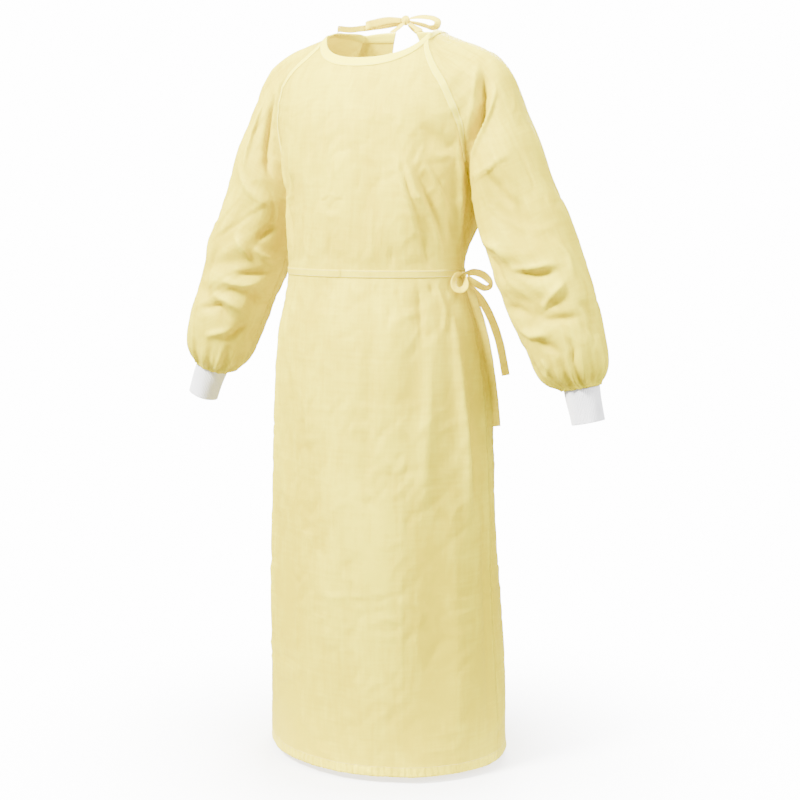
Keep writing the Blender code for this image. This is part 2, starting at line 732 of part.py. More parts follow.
def hem_inner(sheet):
    """The wall's inner half at each point, thicker where the hem is folded up inside."""
    inner = np.full(len(sheet.points), WALL / 2)
    inner[sheet.index[:HEM_ROWS].reshape(-1)] += HEM_EXTRA
    return inner


def neck_line(front, backs, sleeves):
    """The neck edge from the right back panel round the front to the left one. Each place has four
    values: the point at the binding's lower edge, its normal, the point on the neck edge, its normal."""
    runs = [(backs[-1], backs[-1].index[-2:, ::-1])]
    runs.append((sleeves[-1], np.array([sleeves[-1].index[1][::-1], sleeves[-1].index[0][::-1]])))
    runs.append((front, front.index[-2:]))
    runs.append((sleeves[1], np.array([sleeves[1].index[1], sleeves[1].index[0]])))
    runs.append((backs[1], backs[1].index[-2:]))
    line = []
    for sheet, (low, top) in runs:
        run = np.stack([sheet.points[low], sheet.normals[low], sheet.points[top], sheet.normals[top]])
        if line:
            line[-1][:, -1] = (line[-1][:, -1] + run[:, 0]) / 2
            run = run[:, 1:]
        line.append(run)
    return np.concatenate(line, axis=1)


def build_binding(front, backs, sleeves):
    """The tape folded over the neck edge, outside and inside it."""
    low, low_way, top, way = neck_line(front, backs, sleeves)
    up = top - low
    up = unit(up - way * (up * way).sum(-1, keepdims=True))
    near = WALL / 2 + BINDING_GAP
    far = near + TAPE_WALL
    fold, crest = top + up * GAP, top + up * (GAP + TAPE_WALL)
    rings = [low + low_way * far, crest + way * far, crest - way * far, low - low_way * far]
    rings += [low - low_way * near, fold - way * near, fold + way * near, low + low_way * near]
    swept("neck_binding", np.stack(rings, 1), [(0, 1, 6, 7), (1, 2, 5, 6), (2, 3, 4, 5)])


def build_band(name, sheet, edge_column, next_column):
    """The tape sewn over a raglan seam's body side, made from the panel's own points."""
    rows = sheet.index[BAND_ROWS]
    edge, inner = rows[:, edge_column], rows[:, next_column]
    grid = np.stack([sheet.points[edge], sheet.points[inner]], 1)
    ways = np.stack([sheet.normals[edge], sheet.normals[inner]], 1)
    grid[:, 0] += unit(grid[:, 1] - grid[:, 0]) * BAND_TRIM
    grid[-1] += unit(grid[-2] - grid[-1]) * BAND_TRIM
    lift = WALL / 2 + GAP
    rings = [grid[:, 0] + ways[:, 0] * lift, grid[:, 1] + ways[:, 1] * lift]
    rings += [r + w * TAPE_WALL for r, w in zip(rings[::-1], (ways[:, 1], ways[:, 0]))]
    swept(name, np.stack(rings, 1), [(0, 1, 2, 3)])


def belt_line(front, backs):
    """The belt's two edges on the cloth, all the way round from the right side seam over the front."""
    front_rows = front.points[front.index[BELT_ROWS]]
    left_rows = backs[1].points[backs[1].index[BELT_ROWS]]
    right_rows = backs[-1].points[backs[-1].index[BELT_ROWS]][:, ::-1]
    past_edge = left_rows[:, -1:] + unit(left_rows[:, -1:] - left_rows[:, -2:-1]) * BELT_PAST_EDGE
    clear = right_rows[0, :, 0] < past_edge[0, 0, 0] - BELT_PAST_EDGE
    right_rows = right_rows[:, clear]
    front_rows[:, 0] = (front_rows[:, 0] + right_rows[:, -1]) / 2
    front_rows[:, -1] = (front_rows[:, -1] + left_rows[:, 0]) / 2
    return np.concatenate([front_rows, left_rows[:, 1:], past_edge, right_rows[:, :-1]], axis=1)


def build_belt(front, backs):
    line = belt_line(front, backs)
    ahead = np.roll(line, -1, axis=1) - np.roll(line, 1, axis=1)
    outward = unit(np.cross(ahead, np.array([0.0, 0.0, 1.0])))
    near = WALL / 2 + GAP
    far = near + TAPE_WALL
    rings = [line[0] + outward[0] * near, line[1] + outward[1] * near]
    rings += [line[1] + outward[1] * far, line[0] + outward[0] * far]
    swept("waist_belt", np.stack(rings, 1), [], closed=True)


def ribbon(name, rows, level):
    """A flat strip through the rows' points, with their lean and width."""
    rows = np.array(rows, float)
    lengths = np.append(0, np.cumsum(np.linalg.norm(np.diff(rows[:, :3], axis=0), axis=1)))
    at = np.linspace(0, lengths[-1], max(6, round(lengths[-1] / RIBBON_STEP)))
    x, y, z, lean, width = (curve_through(at, lengths, rows[:, k]) for k in range(5))
    points = np.stack([x, y, z], -1)
    ahead = unit(np.gradient(points, axis=0))
    flat = unit(level - ahead * (ahead @ np.array(level))[:, None])
    lean = np.radians(lean)[:, None]
    across = np.cos(lean) * flat + np.sin(lean) * np.cross(ahead, flat)
    side = across * width[:, None] / 2
    face = np.cross(ahead, across) * TAPE_WALL / 2
    rings = [points + side + face, points - side + face, points - side - face, points + side - face]
    swept(name, np.stack(rings, 1), [(0, 1, 2, 3)])


def build_knot(name, centre, half_sizes):
    """A small rounded knot."""
    bpy.ops.mesh.primitive_uv_sphere_add(segments=10, ring_count=6, radius=1, location=(0, 0, 0))
    made = bpy.context.object
    made.name = name
    made.data.name = name
    for v in made.data.vertices:
        v.co = [c + s * a for c, s, a in zip(centre, half_sizes, v.co)]
    made.data.shade_smooth()
    made.data.materials.append(matt(name, YELLOW))


def build_cuff(side):
    """A knit cuff, narrower at its end, that starts inside the sleeve's gathered end."""
    start = np.array(SLEEVE_END[side])
    outward = lean_vector(CUFF_LEAN[side])
    way = np.array([outward[2], 0.0, -outward[0]])
    forward = np.array([0.0, -1.0, 0.0])
    rings = []
    for at, share in ((-CUFF_LAP, 0.0), (CUFF_LENGTH * 0.5, 0.6), (CUFF_LENGTH, 1.0)):
        rings.append((at, CUFF_RADIUS_TOP + (CUFF_RADIUS_END - CUFF_RADIUS_TOP) * share))
    rings += [(at, radius - CUFF_WALL) for at, radius in rings[::-1]]
    turns = np.arange(SLEEVE_COLUMNS) * 2 * np.pi / SLEEVE_COLUMNS
    points = np.array([
        [start + way * at + radius * (np.cos(t) * outward + np.sin(t) * forward) for at, radius in rings]
        for t in turns
    ])
    swept("cuff_" + SIDE_WORDS[side], points if side > 0 else mirrored(points), [], WHITE, closed=True)


def meet_knot(rows, knot):
    """A strip's rows with each end that is near a knot brought onto it, a small gap out."""
    centre, half_sizes = np.array(knot)
    rows = np.array(rows, float)
    for end in (0, -1):
        way = rows[end, :3] - centre
        if np.linalg.norm(way) < KNOT_REACH:
            rows[end, :3] = centre + way / np.linalg.norm(way / half_sizes) + unit(way) * KNOT_GAP
    return rows


def build_waist_bow():
    build_knot("waist_knot", *WAIST_KNOT)
    for name, rows in WAIST_LOOPS.items():
        ribbon(name, meet_knot(rows, WAIST_KNOT), BACK_AND_IN)
    for name, rows in WAIST_TAILS.items():
        points = [(*torso_point(r[0], r[1], r[2]), *r[3:]) for r in rows]
        ribbon(name, meet_knot(points, WAIST_KNOT), OUT_AND_BACK)


def build_neck_bow():
    build_knot("neck_knot", *NECK_KNOT)
    for name, (level, rows) in NECK_STRIPS.items():
        ribbon(name, meet_knot(rows, NECK_KNOT), level)


def main():
    for old in list(bpy.data.objects):
        bpy.data.objects.remove(old)
    front, backs, sleeves = build_sheets()
    cloth("front_panel", front.points, front.faces, front.normals, inner=hem_inner(front))
    build_binding(front, backs, sleeves)
    build_belt(front, backs)
    for side, word in SIDE_WORDS.items():
        back, sleeve = backs[side], sleeves[side]
        cloth("back_panel_" + word, back.points, back.faces, back.normals, inner=hem_inner(back))
        cloth("sleeve_" + word, sleeve.points, sleeve.faces, sleeve.normals)
        edge, inner = (-1, -2) if side > 0 else (0, 1)
        build_band("raglan_band_front_" + word, front, edge, inner)
        build_band("raglan_band_back_" + word, back, 0, 1)
        build_cuff(side)
    build_waist_bow()
    build_neck_bow()


main()
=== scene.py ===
"""The looks of an isolation gown: thin yellow cloth, tapes, ties, stitches and knit cuffs.

Metres. The origin is the middle of the neck opening, +X the wearer's left, -Y the front, +Z up. A point
on the torso is named by its angle round the body, 0 at the front centre and 90 degrees at the wearer's
left side, and its height. A point on a sleeve is named by the share of the way round, from the underside
over the top, and the share of the way along from the underarm to the cuff, below 0 above the underarm.
"""

import math

import bmesh
import bpy
import numpy as np
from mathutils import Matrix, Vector


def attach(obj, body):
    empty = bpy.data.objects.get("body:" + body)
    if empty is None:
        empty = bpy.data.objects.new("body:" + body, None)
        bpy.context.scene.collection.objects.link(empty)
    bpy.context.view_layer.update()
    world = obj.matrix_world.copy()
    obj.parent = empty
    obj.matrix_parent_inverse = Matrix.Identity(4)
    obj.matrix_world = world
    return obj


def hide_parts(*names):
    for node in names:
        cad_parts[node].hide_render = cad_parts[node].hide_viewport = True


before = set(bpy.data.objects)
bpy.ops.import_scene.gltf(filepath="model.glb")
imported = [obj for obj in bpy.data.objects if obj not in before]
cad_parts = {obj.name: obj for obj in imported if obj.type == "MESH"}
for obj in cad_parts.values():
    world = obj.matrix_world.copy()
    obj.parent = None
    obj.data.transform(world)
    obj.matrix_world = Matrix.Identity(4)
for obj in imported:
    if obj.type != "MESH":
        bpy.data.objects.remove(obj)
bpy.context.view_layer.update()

bl_info = {
    "name": "Isolation gown",
    "version": (1, 0, 0),
    "blender": (4, 5, 0),
    "location": "3D View > Sidebar > Gown",
    "description": "Cloth, tapes, ties, stitches and knit cuffs of an isolation gown",
    "category": "Object",
}

# Sizes of the gown's form
HEM = -1.207
UNDERARM = -0.285
FRONT_SEAM_TOP = -0.008
BACK_SEAM_TOP = 0.001
FRONT_NECK = -0.049
BACK_NECK = 0.006
WAIST = -0.392
DIP_START, DIP_END = 2.3, 1.15
FRONT_DIP, BACK_DIP = 1.6, 1.45
SLIP = 0.004
SLOPE = 0.02
LAP_STEP = 0.0019
LAP_WAY = np.array([1.0, 0.0, -0.3])
OVERLAP_STEP = 0.003
KNOT_REACH = 0.012
KNOT_GAP = 0.0005
HEM_DEPTH = 0.014
CUFF_LENGTH = 0.056
CUFF_LAP = 0.004
CUFF_RADIUS_TOP = 0.0291
CUFF_RADIUS_END = 0.0265
BINDING_SHARE = 0.964
TORSO_RADIUS = 0.17
SLEEVE_RADIUS = 0.075
SLEEVE_ROUND = 0.42
SLEEVE_ALONG = 0.33
SIDE_WORDS = {1: "left", -1: "right"}
MILLI = 1000

# Details of the visible pieces
HEM_ROWS = 7
EDGE_COLUMN = -5
FOLD_HEIGHT = 0.008
TAPE_LIFT = 0.0007
TAPE_ROUND = 0.026
BAND_START = 0.0012
BAND_WIDTH = 0.0125
BAND_STITCHES = (0.14, 0.86)
BELT_STITCHES = (0.15, 0.85)
BELT_HALF = 0.0063
BELT_TURN = 188.5
BINDING_LIFT = 0.0009
BINDING_ROUND = 0.03
BINDING_CREST = 0.0005
BINDING_STITCHES = 0.16
STITCH_LIFT = 0.0001
STRIP_STEP = 0.002
STRIP_STITCH_INSET = 0.0018
MERGE_DISTANCE = 1e-6
KNOT_ROWS, KNOT_COLUMNS = 33, 56
CUFF_WALL = 0.0019
CUFF_END_ROUND = 0.0009
FORWARD = np.array([0.0, -1.0, 0.0])

# The studio: each light's name, place, aim, energy, size and colour
WORLD_STRENGTH = 0.75
BACKGROUND_STRENGTH = 15.0
MIDDLE = (0.0, 0.0, -0.55)
LIGHTS = (
    ("key", (-1.4, -2.7, 2.2), MIDDLE, 1220.0, 0.9, (1.0, 0.99, 0.96)),
    ("fill", (2.9, -0.6, 0.9), MIDDLE, 230.0, 1.4, (1.0, 1.0, 1.0)),
    ("top", (0.2, -0.4, 2.2), MIDDLE, 130.0, 2.4, (1.0, 1.0, 1.0)),
    ("back", (-0.8, 2.6, 1.2), (0.0, 0.0, -0.2), 420.0, 1.8, (1.0, 1.0, 1.0)),
)
CAMERA_PLACE = (1.240, -2.285, -0.275)
CAMERA_TURN, CAMERA_DOWN = math.radians(28.0), math.radians(7.38)
CAMERA_LENS, CAMERA_SENSOR = 69.45, 36.0
FLOOR_HALF, FLOOR_POINTS, FLOOR_GAP = 2.5, 9, 0.012
FLOOR_END, FLOOR_FADE = 0.80, 0.58


def table(columns, rows):
    """The rows' values as one array for each named column."""
    return dict(zip(columns.split(), np.array(rows, float).T))


TORSO = table(
    "height half_width front_depth back_depth centre_x centre_y",
    [
        (-1.207, 0.211, 0.176, 0.176, 0.001, -0.002),
        (-1, 0.206, 0.172, 0.172, 0.001, -0.005),
        (-0.85, 0.201, 0.167, 0.167, 0.001, -0.008),
        (-0.7, 0.195, 0.16, 0.162, 0, -0.01),
        (-0.56, 0.187, 0.15, 0.152, -0.001, -0.014),
        (-0.48, 0.178, 0.138, 0.138, -0.004, -0.018),
        (-0.43, 0.165, 0.124, 0.12, -0.006, -0.021),
        (-0.392, 0.156, 0.114, 0.105, -0.008, -0.023),
        (-0.35, 0.16, 0.118, 0.109, -0.006, -0.02),
        (-0.285, 0.168, 0.125, 0.119, 0, -0.012),
        (-0.2, 0.186, 0.128, 0.126, 0, -0.004),
        (-0.12, 0.194, 0.117, 0.122, 0, 0),
        (-0.066, 0.184, 0.098, 0.112, 0, 0.004),
        (0, 0.13, 0.052, 0.078, 0, 0.01),
        (0.03, 0.104, 0.034, 0.064, 0, 0.014),
    ],
)

# Angles in degrees of the raglan seams
SEAMS = table(
    "height front_left front_right back",
    [
        (-0.285, 90, 90, 90),
        (-0.25, 80, 82, 101),
        (-0.2, 71, 76, 110),
        (-0.15, 63, 71, 118),
        (-0.116, 56, 65, 125),
        (-0.085, 50, 59, 131),
        (-0.06, 45, 51, 137),
        (-0.03, 43, 43, 142),
        (0, 47, 41, 143),
    ],
)

# Where the two back panels end, as x from the middle of the back
BACK_EDGES = table(
    "height left right",
    [
        (-1.207, -0.06, 0.06),
        (-0.6, -0.05, 0.05),
        (-0.392, -0.022, 0.022),
        (-0.33, 0.006, -0.004),
        (-0.2, 0.04, -0.06),
        (-0.1, 0.042, -0.062),
        (-0.03, 0.024, -0.038),
        (0.01, 0.011, -0.022),
    ],
)

# The sleeve's top line from the underarm's level to the neck, its lean, leave and fullness
SHOULDER = table(
    "share top_x top_y top_z lean leave fullness",
    [
        (0, 0.292, 0, -0.233, 21, 0, 0.667),
        (0.12, 0.277, 0, -0.194, 23, 22, 0.64),
        (0.22, 0.264, 0.001, -0.164, 26, 42, 0.6),
        (0.33, 0.25, 0.002, -0.132, 31, 62, 0.55),
        (0.43, 0.2385, 0.003, -0.101, 37, 78, 0.5),
        (0.53, 0.225, 0.005, -0.072, 45, 92, 0.46),
        (0.63, 0.206, 0.008, -0.049, 54, 106, 0.42),
        (0.74, 0.177, 0.011, -0.032, 63, 122, 0.39),
        (0.87, 0.136, 0.014, -0.016, 72, 145, 0.37),
        (1, 0.091, 0.018, 0.001, 80, 170, 0.35),
    ],
)

SLEEVE_START = np.array([0.229, 0.0, -0.2595])
SLEEVE_END = {1: np.array([0.352, 0.0, -0.571]), -1: np.array([0.358, 0.0, -0.572])}
SLEEVE_LEAN = 21
CUFF_LEAN = {1: 12, -1: 22}
TUBE = table(
    "share out_radius front_radius sag",
    [
        (0, 0.066, 0.067, 0),
        (0.15, 0.069, 0.07, 0),
        (0.35, 0.071, 0.0715, 0),
        (0.55, 0.07, 0.07, -0.0015),
        (0.7, 0.0665, 0.0675, -0.0015),
        (0.8, 0.0625, 0.064, 0),
        (0.87, 0.058, 0.059, 0.002),
        (0.92, 0.052, 0.053, 0.003),
        (0.96, 0.043, 0.043, 0.003),
        (0.985, 0.0345, 0.0345, 0.001),
        (1, 0.0315, 0.0315, 0),
    ],
)

# Large soft folds, the solids' own: from one angle and height to another, width and depth
TORSO_FOLDS = [
    (38, -0.15, 58, -0.37, 0.022, -0.007),
    (58, -0.19, 74, -0.372, 0.018, -0.008),
    (24, -0.21, 40, -0.36, 0.03, 0.004),
    (46, -0.415, 40, -0.64, 0.026, -0.006),
    (66, -0.412, 62, -0.7, 0.024, -0.007),
    (-72, -0.41, -66, -0.9, 0.03, -0.006),
    (-64, -0.15, -80, -0.36, 0.02, -0.006),
    (20, -0.56, 16, -1.2, 0.045, 0.006),
    (-24, -0.5, -30, -1.2, 0.05, -0.005),
    (52, -0.7, 50, -1.2, 0.04, -0.006),
    (112, -0.415, 110, -1, 0.028, -0.007),
    (140, -0.412, 136, -1.2, 0.034, -0.008),
    (-112, -0.415, -110, -1, 0.028, -0.007),
    (-142, -0.412, -138, -1.2, 0.034, -0.008),
    (122, -0.2, 140, -0.37, 0.022, -0.006),
    (-122, -0.2, -140, -0.37, 0.022, -0.006),
]
SLEEVE_FOLDS = [
    (0.1, 0.3, 0.36, 0.46, 0.014, -0.006),
    (0.06, 0.46, 0.34, 0.6, 0.013, -0.006),
    (0.12, 0.68, 0.38, 0.56, 0.014, -0.006),
    (0.22, 0.05, 0.3, 0.34, 0.016, -0.005),
    (0.9, 0.3, 0.66, 0.5, 0.014, -0.006),
    (0.94, 0.52, 0.7, 0.66, 0.013, -0.006),
]

# Creases, listed one by one: a crease's width and height in millimetres (a ridge above 0, a trough below it),
# how much steeper one side of it is (1 even, above 1 steeper on its right going down), then the points of
# its line, on the torso in degrees and millimetres of height, on a sleeve in thousandths round and along
TORSO_CREASES = [
    (8.5, 4.2, 2.2, 27, -204, 32.5, -256, 42, -312, 55.5, -378),
    (7, -3, 1, 30, -222, 36, -272, 46, -328, 57, -380),
    (8, 3.6, 1.8, 31.5, -214, 40, -262, 52.5, -306, 66, -358),
    (6.5, -2.8, 1, 35, -216, 46, -266, 60, -318, 68, -360),
    (8, 3.2, 1.6, 41.5, -212, 55, -260, 72.5, -322),
    (7, -2.6, 1, 47, -222, 62, -285, 75, -338),
    (6, -2.4, 1, 44, -330, 50, -352, 56, -380),
    (16, -3, 1, 37, -158, 48, -178, 60, -200),
    (12, -3.2, 1, -45.5, -210, -49, -280, -50, -346),
    (9, 2.6, 1.5, -58, -190, -62, -262, -60, -340),
    (4.5, 1.2, 1.5, 16.5, -296, 18, -334, 19, -376),
    (20, 1.8, 1, -20, -170, -26, -250, -24, -330),
    (26, 2.2, 1, 4, -120, 2, -220, 4, -330),
    (5, -1.3, 1, -8, -330, -10, -360, -9, -384),
    (4.5, -1.4, 1, 30, -350, 31, -372, 32, -384),
    (5, -2.2, 1, 56, -401, 56.5, -412, 57, -428),
    (8, 2.8, 1.6, 62, -412, 65, -452, 60.5, -482),
    (8, -2.6, 1, 48, -410, 47, -450, 46, -496),
    (6, 2.6, 1.8, 60, -165, 64, -205, 69.5, -246, 73, -285, 79, -325, 86, -372),
    (12, -4.2, 1, 66, -175, 72, -215, 78, -255, 84, -300, 90, -350),
    (9, -4, 1, 57, -130, 62, -160, 68, -190, 74, -225),
    (15, 4.2, 2, 69.5, -450, 69, -608, 70.5, -693, 70, -800),
    (17, -4.5, 1, 76, -470, 78, -620, 77, -780),
    (18, 3, 1.4, 50, -508, 45.5, -659, 43, -769),
    (5, -1.3, 1, 36, -402, 35, -430, 37, -466),
    (4, -1, 1, 24, -401, 22, -420, 23, -440),
    (4.5, -1.1, 1, 6, -401, 5, -418, 7, -438),
    (5, -1.3, 1, -16, -401, -17, -425, -15, -455),
    (6, -1.6, 1, -40, -401, -44, -440, -42, -480),
    (15, -2.2, 1, 20, -430, 17, -560, 15, -700, 19, -843),
    (24, 1.8, 1, 2, -620, -2, -860, 0, -1100),
    (26, 1.2, 1.2, 58, -760, 61, -960, 60, -1190),
    (18, -3.4, 1, 82, -600, 84, -850, 82, -1180),
    (16, 2.6, 1.3, -52, -470, -56, -750, -54, -1050),
    (15, -2.8, 1, -64, -620, -66, -900, -68, -1180),
    (17, 3, 1.3, -82, -450, -86, -740, -84, -1100),
    (8, 2.2, 1.6, -38, -176, -44, -230, -58, -300),
    (8, -2.4, 1, -66, -230, -58, -290, -48, -352),
    (9, 3.4, 1.5, 96, -215, 104, -285, 118, -358),
    (8, -2.8, 1, 112, -170, 124, -260, 132, -372),
    (10, 2.8, 1.3, 134, -230, 142, -300, 140, -370),
    (9, 3.4, 1.5, -98, -220, -108, -292, -122, -362),
    (8, -2.8, 1, -114, -180, -128, -264, -134, -370),
    (10, 2.6, 1.3, -136, -220, -146, -296, -142, -372),
    (12, 3.6, 1.5, 100, -408, 102, -500, 98, -640),
    (13, 3.4, 1.4, 124, -404, 128, -520, 124, -700),
    (14, -3.6, 1, 150, -406, 156, -600, 152, -860),
    (12, 2.8, 1.2, 168, -410, 166, -560, 170, -760),
    (12, 3.6, 1.5, -100, -408, -104, -520, -98, -680),
    (13, 3.4, 1.4, -126, -404, -130, -540, -126, -760),
    (14, -3.6, 1, -152, -406, -156, -620, -154, -900),
    (12, 2.8, 1.2, -168, -410, -164, -580, -170, -800),
]

# Sharp lines that folding in the pack pressed into the cloth
PRESSED_LINES = [
    (3.2, 0.9, 3, -34, -436, -29, -650, -25.5, -863, -23.5, -1203),
    (3.2, 0.8, 3, 32.5, -700, 32.5, -777, 31.5, -941, 31, -1120),
    (3, 0.7, 2.5, -24.5, -608, 8, -604, 39, -598),
    (3, 0.8, 2.5, -23, -919, 5, -908, 30.5, -897),
    (2.6, 0.4, 2, -30, -752, 10, -744, 44, -738),
    (2.6, 0.4, 2, -18, -1085, 10, -1078, 34, -1070),
    (2.6, 0.4, 2, -14, -460, -13, -620, -12, -780),
    (3, 0.3, 2.5, 60, -700, 61, -920, 60, -1150),
    (3, 0.7, 2.5, -62, -480, -63, -800, -64, -1150),
    (3.2, 0.8, 3, 118, -460, 117, -800, 116, -1160),
    (3.2, 0.8, 3, -118, -460, -117, -800, -116, -1160),
    (3, 0.7, 2.5, 96, -700, 130, -704, 168, -698),
    (3, 0.7, 2.5, -96, -700, -130, -696, -168, -702),
]

SLEEVE_CREASES = {
    1: [
        (12, -3, 1, 333, 45, 320, 150, 330, 260),
        (8, -4, 1, 233, 400, 290, 440, 358, 460),
        (9, 4, 1.8, 200, 370, 270, 405, 370, 425),
        (13, -4.8, 1, 83, 530, 150, 560, 217, 610),
        (9, 4.6, 1.8, 267, 600, 320, 560, 375, 520),
        (8, -3.4, 1, 250, 650, 320, 668, 392, 685),
        (10, -3.4, 1, 200, 740, 240, 775, 275, 810),
        (9, 3.4, 1.5, 120, 650, 180, 700, 250, 720),
        (9, 2.4, 1.3, 400, 300, 430, 400, 420, 500),
        (10, 3.6, 1.6, 100, 180, 180, 260, 200, 340),
        (9, -3.6, 1, 60, 220, 120, 330, 150, 420),
        (6, -2.4, 1, 330, 760, 340, 820, 320, 880),
        (6, 2.6, 1.3, 180, 820, 190, 870, 170, 910),
        (10, -2.6, 1, 420, 620, 460, 700, 440, 790),
        (11, -3.4, 1, 560, 250, 620, 380, 600, 500),
        (10, 4, 1.6, 680, 450, 760, 520, 860, 540),
        (9, -3.6, 1, 620, 600, 720, 660, 820, 700),
        (10, 3.6, 1.6, 940, 180, 860, 260, 800, 360),
        (21, -9.5, 1.5, 275, -500, 200, -450, 145, -400, 85, -350, 30, -300),
        (12, -5, 1, 150, -380, 90, -330, 40, -270, 30, -200),
        (7.5, 4, 2, 300, -420, 235, -375, 165, -315, 105, -270, 30, -200),
        (8, 2.4, 1.6, 285, -560, 200, -530, 150, -490, 90, -440, 40, -395),
        (5.5, 2.2, 2, 53, -120, 144, -104, 212, -104, 280, -119, 326, -119),
        (9, -3, 1, 200, -80, 260, 0, 300, 100),
        (9, -3.4, 1, 880, -480, 870, -300, 850, -80),
        (10, 3, 1.5, 820, -300, 760, -120, 720, 80),
    ],
    -1: [
        (12, 3, 1.5, 310, -80, 240, 0, 150, 35),
        (9, 4.2, 1.8, 242, 235, 190, 290, 142, 340),
        (8, -3.6, 1, 150, 215, 120, 175, 92, 140),
        (8, 3.8, 1.7, 150, 265, 100, 290, 50, 310),
        (8, -4.2, 1, 192, 430, 120, 400, 50, 365),
        (14, -4, 1, 110, 520, 67, 520, 30, 500),
        (9, 3.8, 1.7, 230, 480, 150, 470, 80, 430),
        (8, -3.6, 1, 292, 670, 208, 620, 158, 660),
        (9, 3.4, 1.5, 260, 580, 190, 570, 110, 600),
        (8, -3.4, 1, 142, 780, 100, 730, 67, 670),
        (8, 3, 1.4, 240, 800, 190, 760, 130, 720),
        (11, 2.4, 1.3, 360, 200, 400, 340, 380, 460),
        (10, -2.6, 1, 320, 350, 340, 480, 310, 600),
        (10, -2.4, 1, 400, 620, 440, 720, 410, 800),
        (11, -3.4, 1, 560, 200, 600, 340, 640, 460),
        (10, 4, 1.6, 700, 400, 780, 480, 880, 500),
        (9, -3.6, 1, 640, 560, 740, 620, 840, 640),
        (10, 3.6, 1.6, 930, 160, 850, 240, 790, 330),
        (11, -5, 1, 70, -520, 85, -330, 100, -120),
        (10, 3.2, 1.6, 180, -420, 220, -240, 260, -80),
        (9, -3.4, 1, 870, -460, 860, -280, 840, -60),
    ],
}

# The strips of the two bows. A strip's row is x, y, z, lean and width, in millimetres and degrees, and a
# strip's width turns from its level direction by lean degrees about the strip's own way. A hanging end at
# the waist has its angle on the torso, its height and its distance out in place of x, y and z.
OUT_AND_BACK = (0.883, 0.469, 0.0)
BACK_AND_IN = (-0.469, 0.883, 0.0)
ACROSS = (1.0, 0.0, 0.0)
UPWARD = (0.0, 0.0, 1.0)
BACKWARD = (0.0, 1.0, 0.0)
STRIP_UNITS = (MILLI, MILLI, MILLI, 1, MILLI)
WAIST_TAILS = ("waist_tail_back", "waist_tail_front")
WAIST_KNOT = (np.array([0.1551, -0.0240, -0.3955]), np.array([0.0045, 0.0060, 0.0065]))
NECK_KNOT = (np.array([-0.0240, 0.1130, 0.0310]), np.array([0.0080, 0.0065, 0.0090]))
WAIST_STRIPS = {
    "waist_loop_back": (BACK_AND_IN, [
        (159, -16.5, -392.5, 66, 9),
        (164, -9.4, -391.2, 72, 12),
        (170.1, -0.2, -392.8, 74, 13),
        (177.5, 9.4, -398.4, 70, 13),
        (184.2, 13, -407.5, 58, 13),
        (186.2, 8.4, -414.4, 48, 13),
        (182.2, 0.4, -417, 54, 13),
        (178.5, -7.3, -414.5, 64, 13),
        (172.2, -15, -409.2, 70, 13),
        (163.2, -20, -403, 70, 10),
    ]),
    "waist_loop_front": (BACK_AND_IN, [
        (155, -33.5, -392.5, 44, 8),
        (152.7, -47.3, -395.9, 52, 12),
        (152.1, -55.6, -406.1, 54, 12.5),
        (156.7, -57.6, -415.7, 50, 12.5),
        (163.1, -52, -418.2, 50, 12.5),
        (166.7, -44.4, -413.7, 54, 12),
        (165, -38, -406.5, 50, 10),
        (161, -32, -400, 44, 8),
    ]),
    "waist_tail_back": (OUT_AND_BACK, [
        (92.5, -402, 3.5, 0, 5),
        (94.5, -411, 6.5, 0, 8),
        (96.5, -421, 9.5, 0, 11),
        (99, -434, 14.5, 0, 13.7),
        (102.2, -454.9, 18.5, 0, 13.7),
        (104.5, -481.5, 21, 0, 13.7),
        (106, -504.9, 23, 0, 13.7),
        (107.6, -535.2, 24.5, 0, 13.7),
        (108.9, -563.5, 25.5, 0, 13.7),
    ]),
    "waist_tail_front": (OUT_AND_BACK, [
        (90, -404.5, 6.5, 0, 6),
        (91.5, -420, 8.5, 0, 12),
        (93, -450, 8.2, 0, 13.7),
        (94, -500, 8, 0, 13.7),
        (96, -560, 8, 0, 13.7),
        (97.5, -610, 8, 0, 13.7),
        (98.5, -645, 8, 0, 13.7),
    ]),
}

